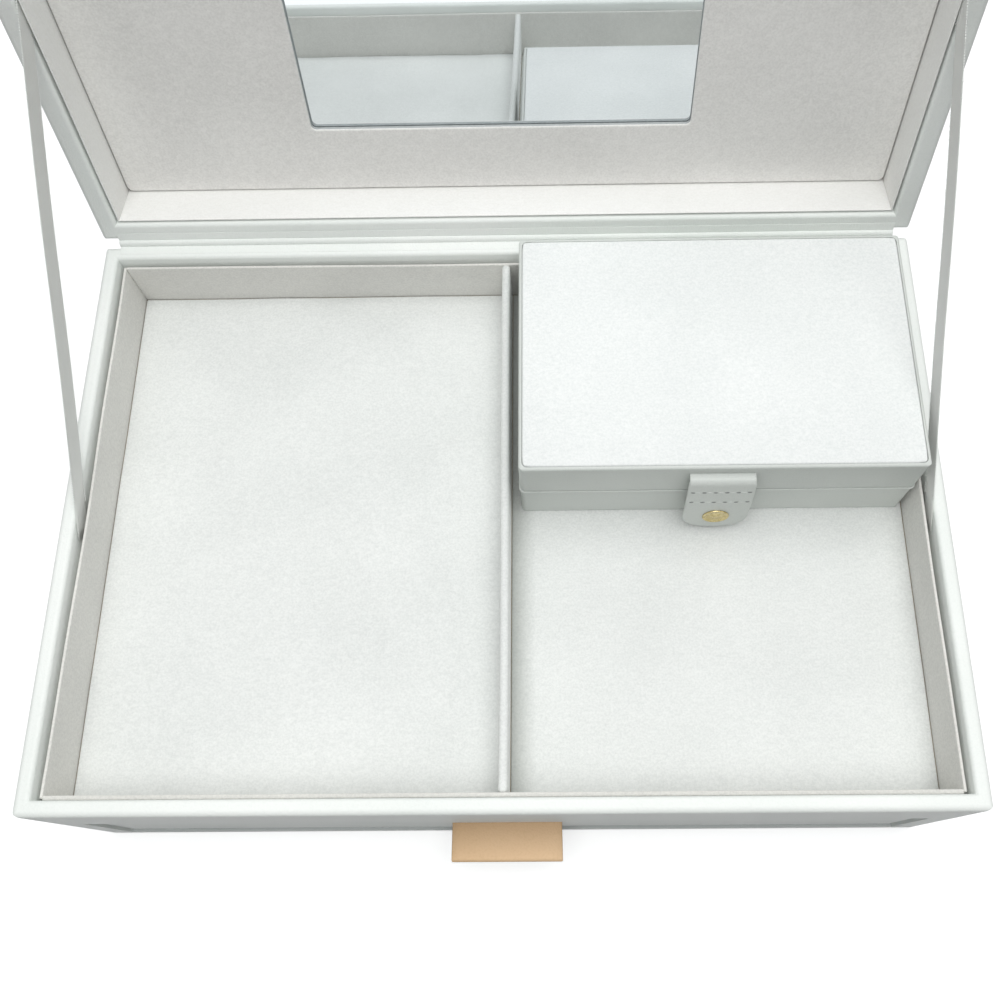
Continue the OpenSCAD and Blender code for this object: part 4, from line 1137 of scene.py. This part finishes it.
def ribbon(name, node, side):
    """A ribbon between its two tucked tails. Side is 1 on the right and -1 on the left."""
    q = np.array([v.co for v in nodes[node].data.vertices]) / MM
    order = q[:, 1].argsort()
    first, last = q[order[:4]].mean(0), q[order[-4:]].mean(0)
    way = (last - first) * [0, 1, 1]
    length = np.linalg.norm(way)
    way /= length
    across = np.array([0, -way[2], way[1]]) * RIBBON_W / 2
    run = np.concatenate([np.linspace(0, TAIL, 4)[:-1], np.linspace(TAIL, length - TAIL, 70),
                          np.linspace(length - TAIL, length, 4)[1:]])
    free = np.clip((run - TAIL) / (length - 2 * TAIL), 0, 1)
    centre = first + run[:, None] * way
    centre[:, 0] = first[0] * (1 - free) + last[0] * free
    centre[:, 0] -= side * 0.35 * np.sin(math.pi * free) * np.sin(2 * math.pi * free + 0.4)
    cols = np.linspace(-1, 1, 13)
    thick = HALF_T * np.where(np.abs(cols) < 1, 0.82, 0.3)
    rings, uv = [], []
    for c, s, f in zip(centre, run, free):
        cup = side * 0.12 * (cols ** 2 - 0.4) * math.sin(math.pi * f)
        there = c + np.outer(cols, across) + np.outer(cup + thick, [1, 0, 0])
        back = c + np.outer(cols, across) + np.outer(cup - thick, [1, 0, 0])
        rings.append(np.vstack([there, back[::-1]]))
        uv += [(s, v * RIBBON_W / 2) for v in np.concatenate([cols, cols[::-1]])]
    points, faces = loft(rings, caps=True)
    obj = add_piece(name, points, faces, satin, None)
    layer = obj.data.uv_layers.new(name="along")
    for loop in obj.data.loops:
        layer.data[loop.index].uv = uv[loop.vertex_index]
    fix_normals(obj)
    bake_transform(obj)
    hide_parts(node)
    print(name, "free length", round(length - 2 * TAIL, 1), "mm")
    return obj, centre, across


ribbons = [ribbon("left_stay", "ribbon_left", -1), ribbon("right_stay", "ribbon_right", 1)]

# %% [markdown]
# ### Picots
# The selvedge of such ribbon has tiny loops, which show as a row of light dots along both edges.
# Geometry Nodes put one bead per loop along a curve that follows the edge.

# %% Picot tree
picot_tree, given = new_tree("picots along an edge", [
    ("Spacing", "Float", 0.0008), ("Bead", "Float", 0.0003), ("Seed", "Int", 1),
    ("Thread", "Material", None)])
line = new_node(picot_tree, "GeometryNodeMeshToCurve", {0: given["Geometry"]})
spaced = new_node(picot_tree, "GeometryNodeCurveToPoints", {
    "Curve": line.outputs[0], "Length": given["Spacing"]}, mode="LENGTH")
bead = new_node(picot_tree, "GeometryNodeMeshIcoSphere", {"Radius": given["Bead"], "Subdivisions": 1})
vary = new_node(picot_tree, "FunctionNodeRandomValue", {2: 0.7, 3: 1.2, "Seed": given["Seed"]})
put_on_points(picot_tree, given, {
    "Points": spaced.outputs["Points"], "Instance": bead.outputs["Mesh"], "Scale": vary.outputs[1]})
print("inputs:", list(given.keys())[1:-1])

# %% Picots on both ribbons
for number, (stay, centre, reach) in enumerate(ribbons):
    points, faces = [], []
    for edge in (1, -1):
        wire = bpy.data.meshes.new("edge")
        route = [tuple(v) for v in (centre[3:-3] + edge * reach * 0.99) * MM]
        wire.from_pydata(route, [(i, i + 1) for i in range(len(route) - 1)], [])
        beads = node_mesh("picots", picot_tree, {
            "Spacing": 0.0008, "Bead": 0.0003, "Seed": 3 * number + edge + 1, "Thread": white_thread}, wire)
        first = len(points)
        points += [tuple(v.co / MM) for v in beads.vertices]
        faces += [tuple(first + i for i in f.vertices) for f in beads.polygons]
        bpy.data.meshes.remove(beads)
        bpy.data.meshes.remove(wire)
    picots = add_piece(stay.name + "_picots", points, faces, white_thread, None)
    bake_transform(picots)
    print(picots.name, len(faces), "faces")

# %% [markdown]
# ## The drawer's floor
# The drawer has a loose pad of suede-covered card on its floor, seen once the drawer is out.

# %% Drawer pad
low, high = box_mm("drawer_lining")
p, quads = slab(low, high, 0.5, 7.0)
p[:, 2] += crown(p, low, high, 0.35, 8.0) * (1 + 4 * waves(p, PAD_WAVES))
drawer_pad = add_piece("drawer_pad", p, quads, pale_suede, "drawer", ["drawer_lining"])
print("drawer pad", [round(v, 1) for v in high - low], "mm")

# %% [markdown]
# ## Finish
# The size of the dressed model is printed.

# %% Bounds and finish
low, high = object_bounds()
print("size in mm:", [round(1000 * v, 1) for v in high - low])
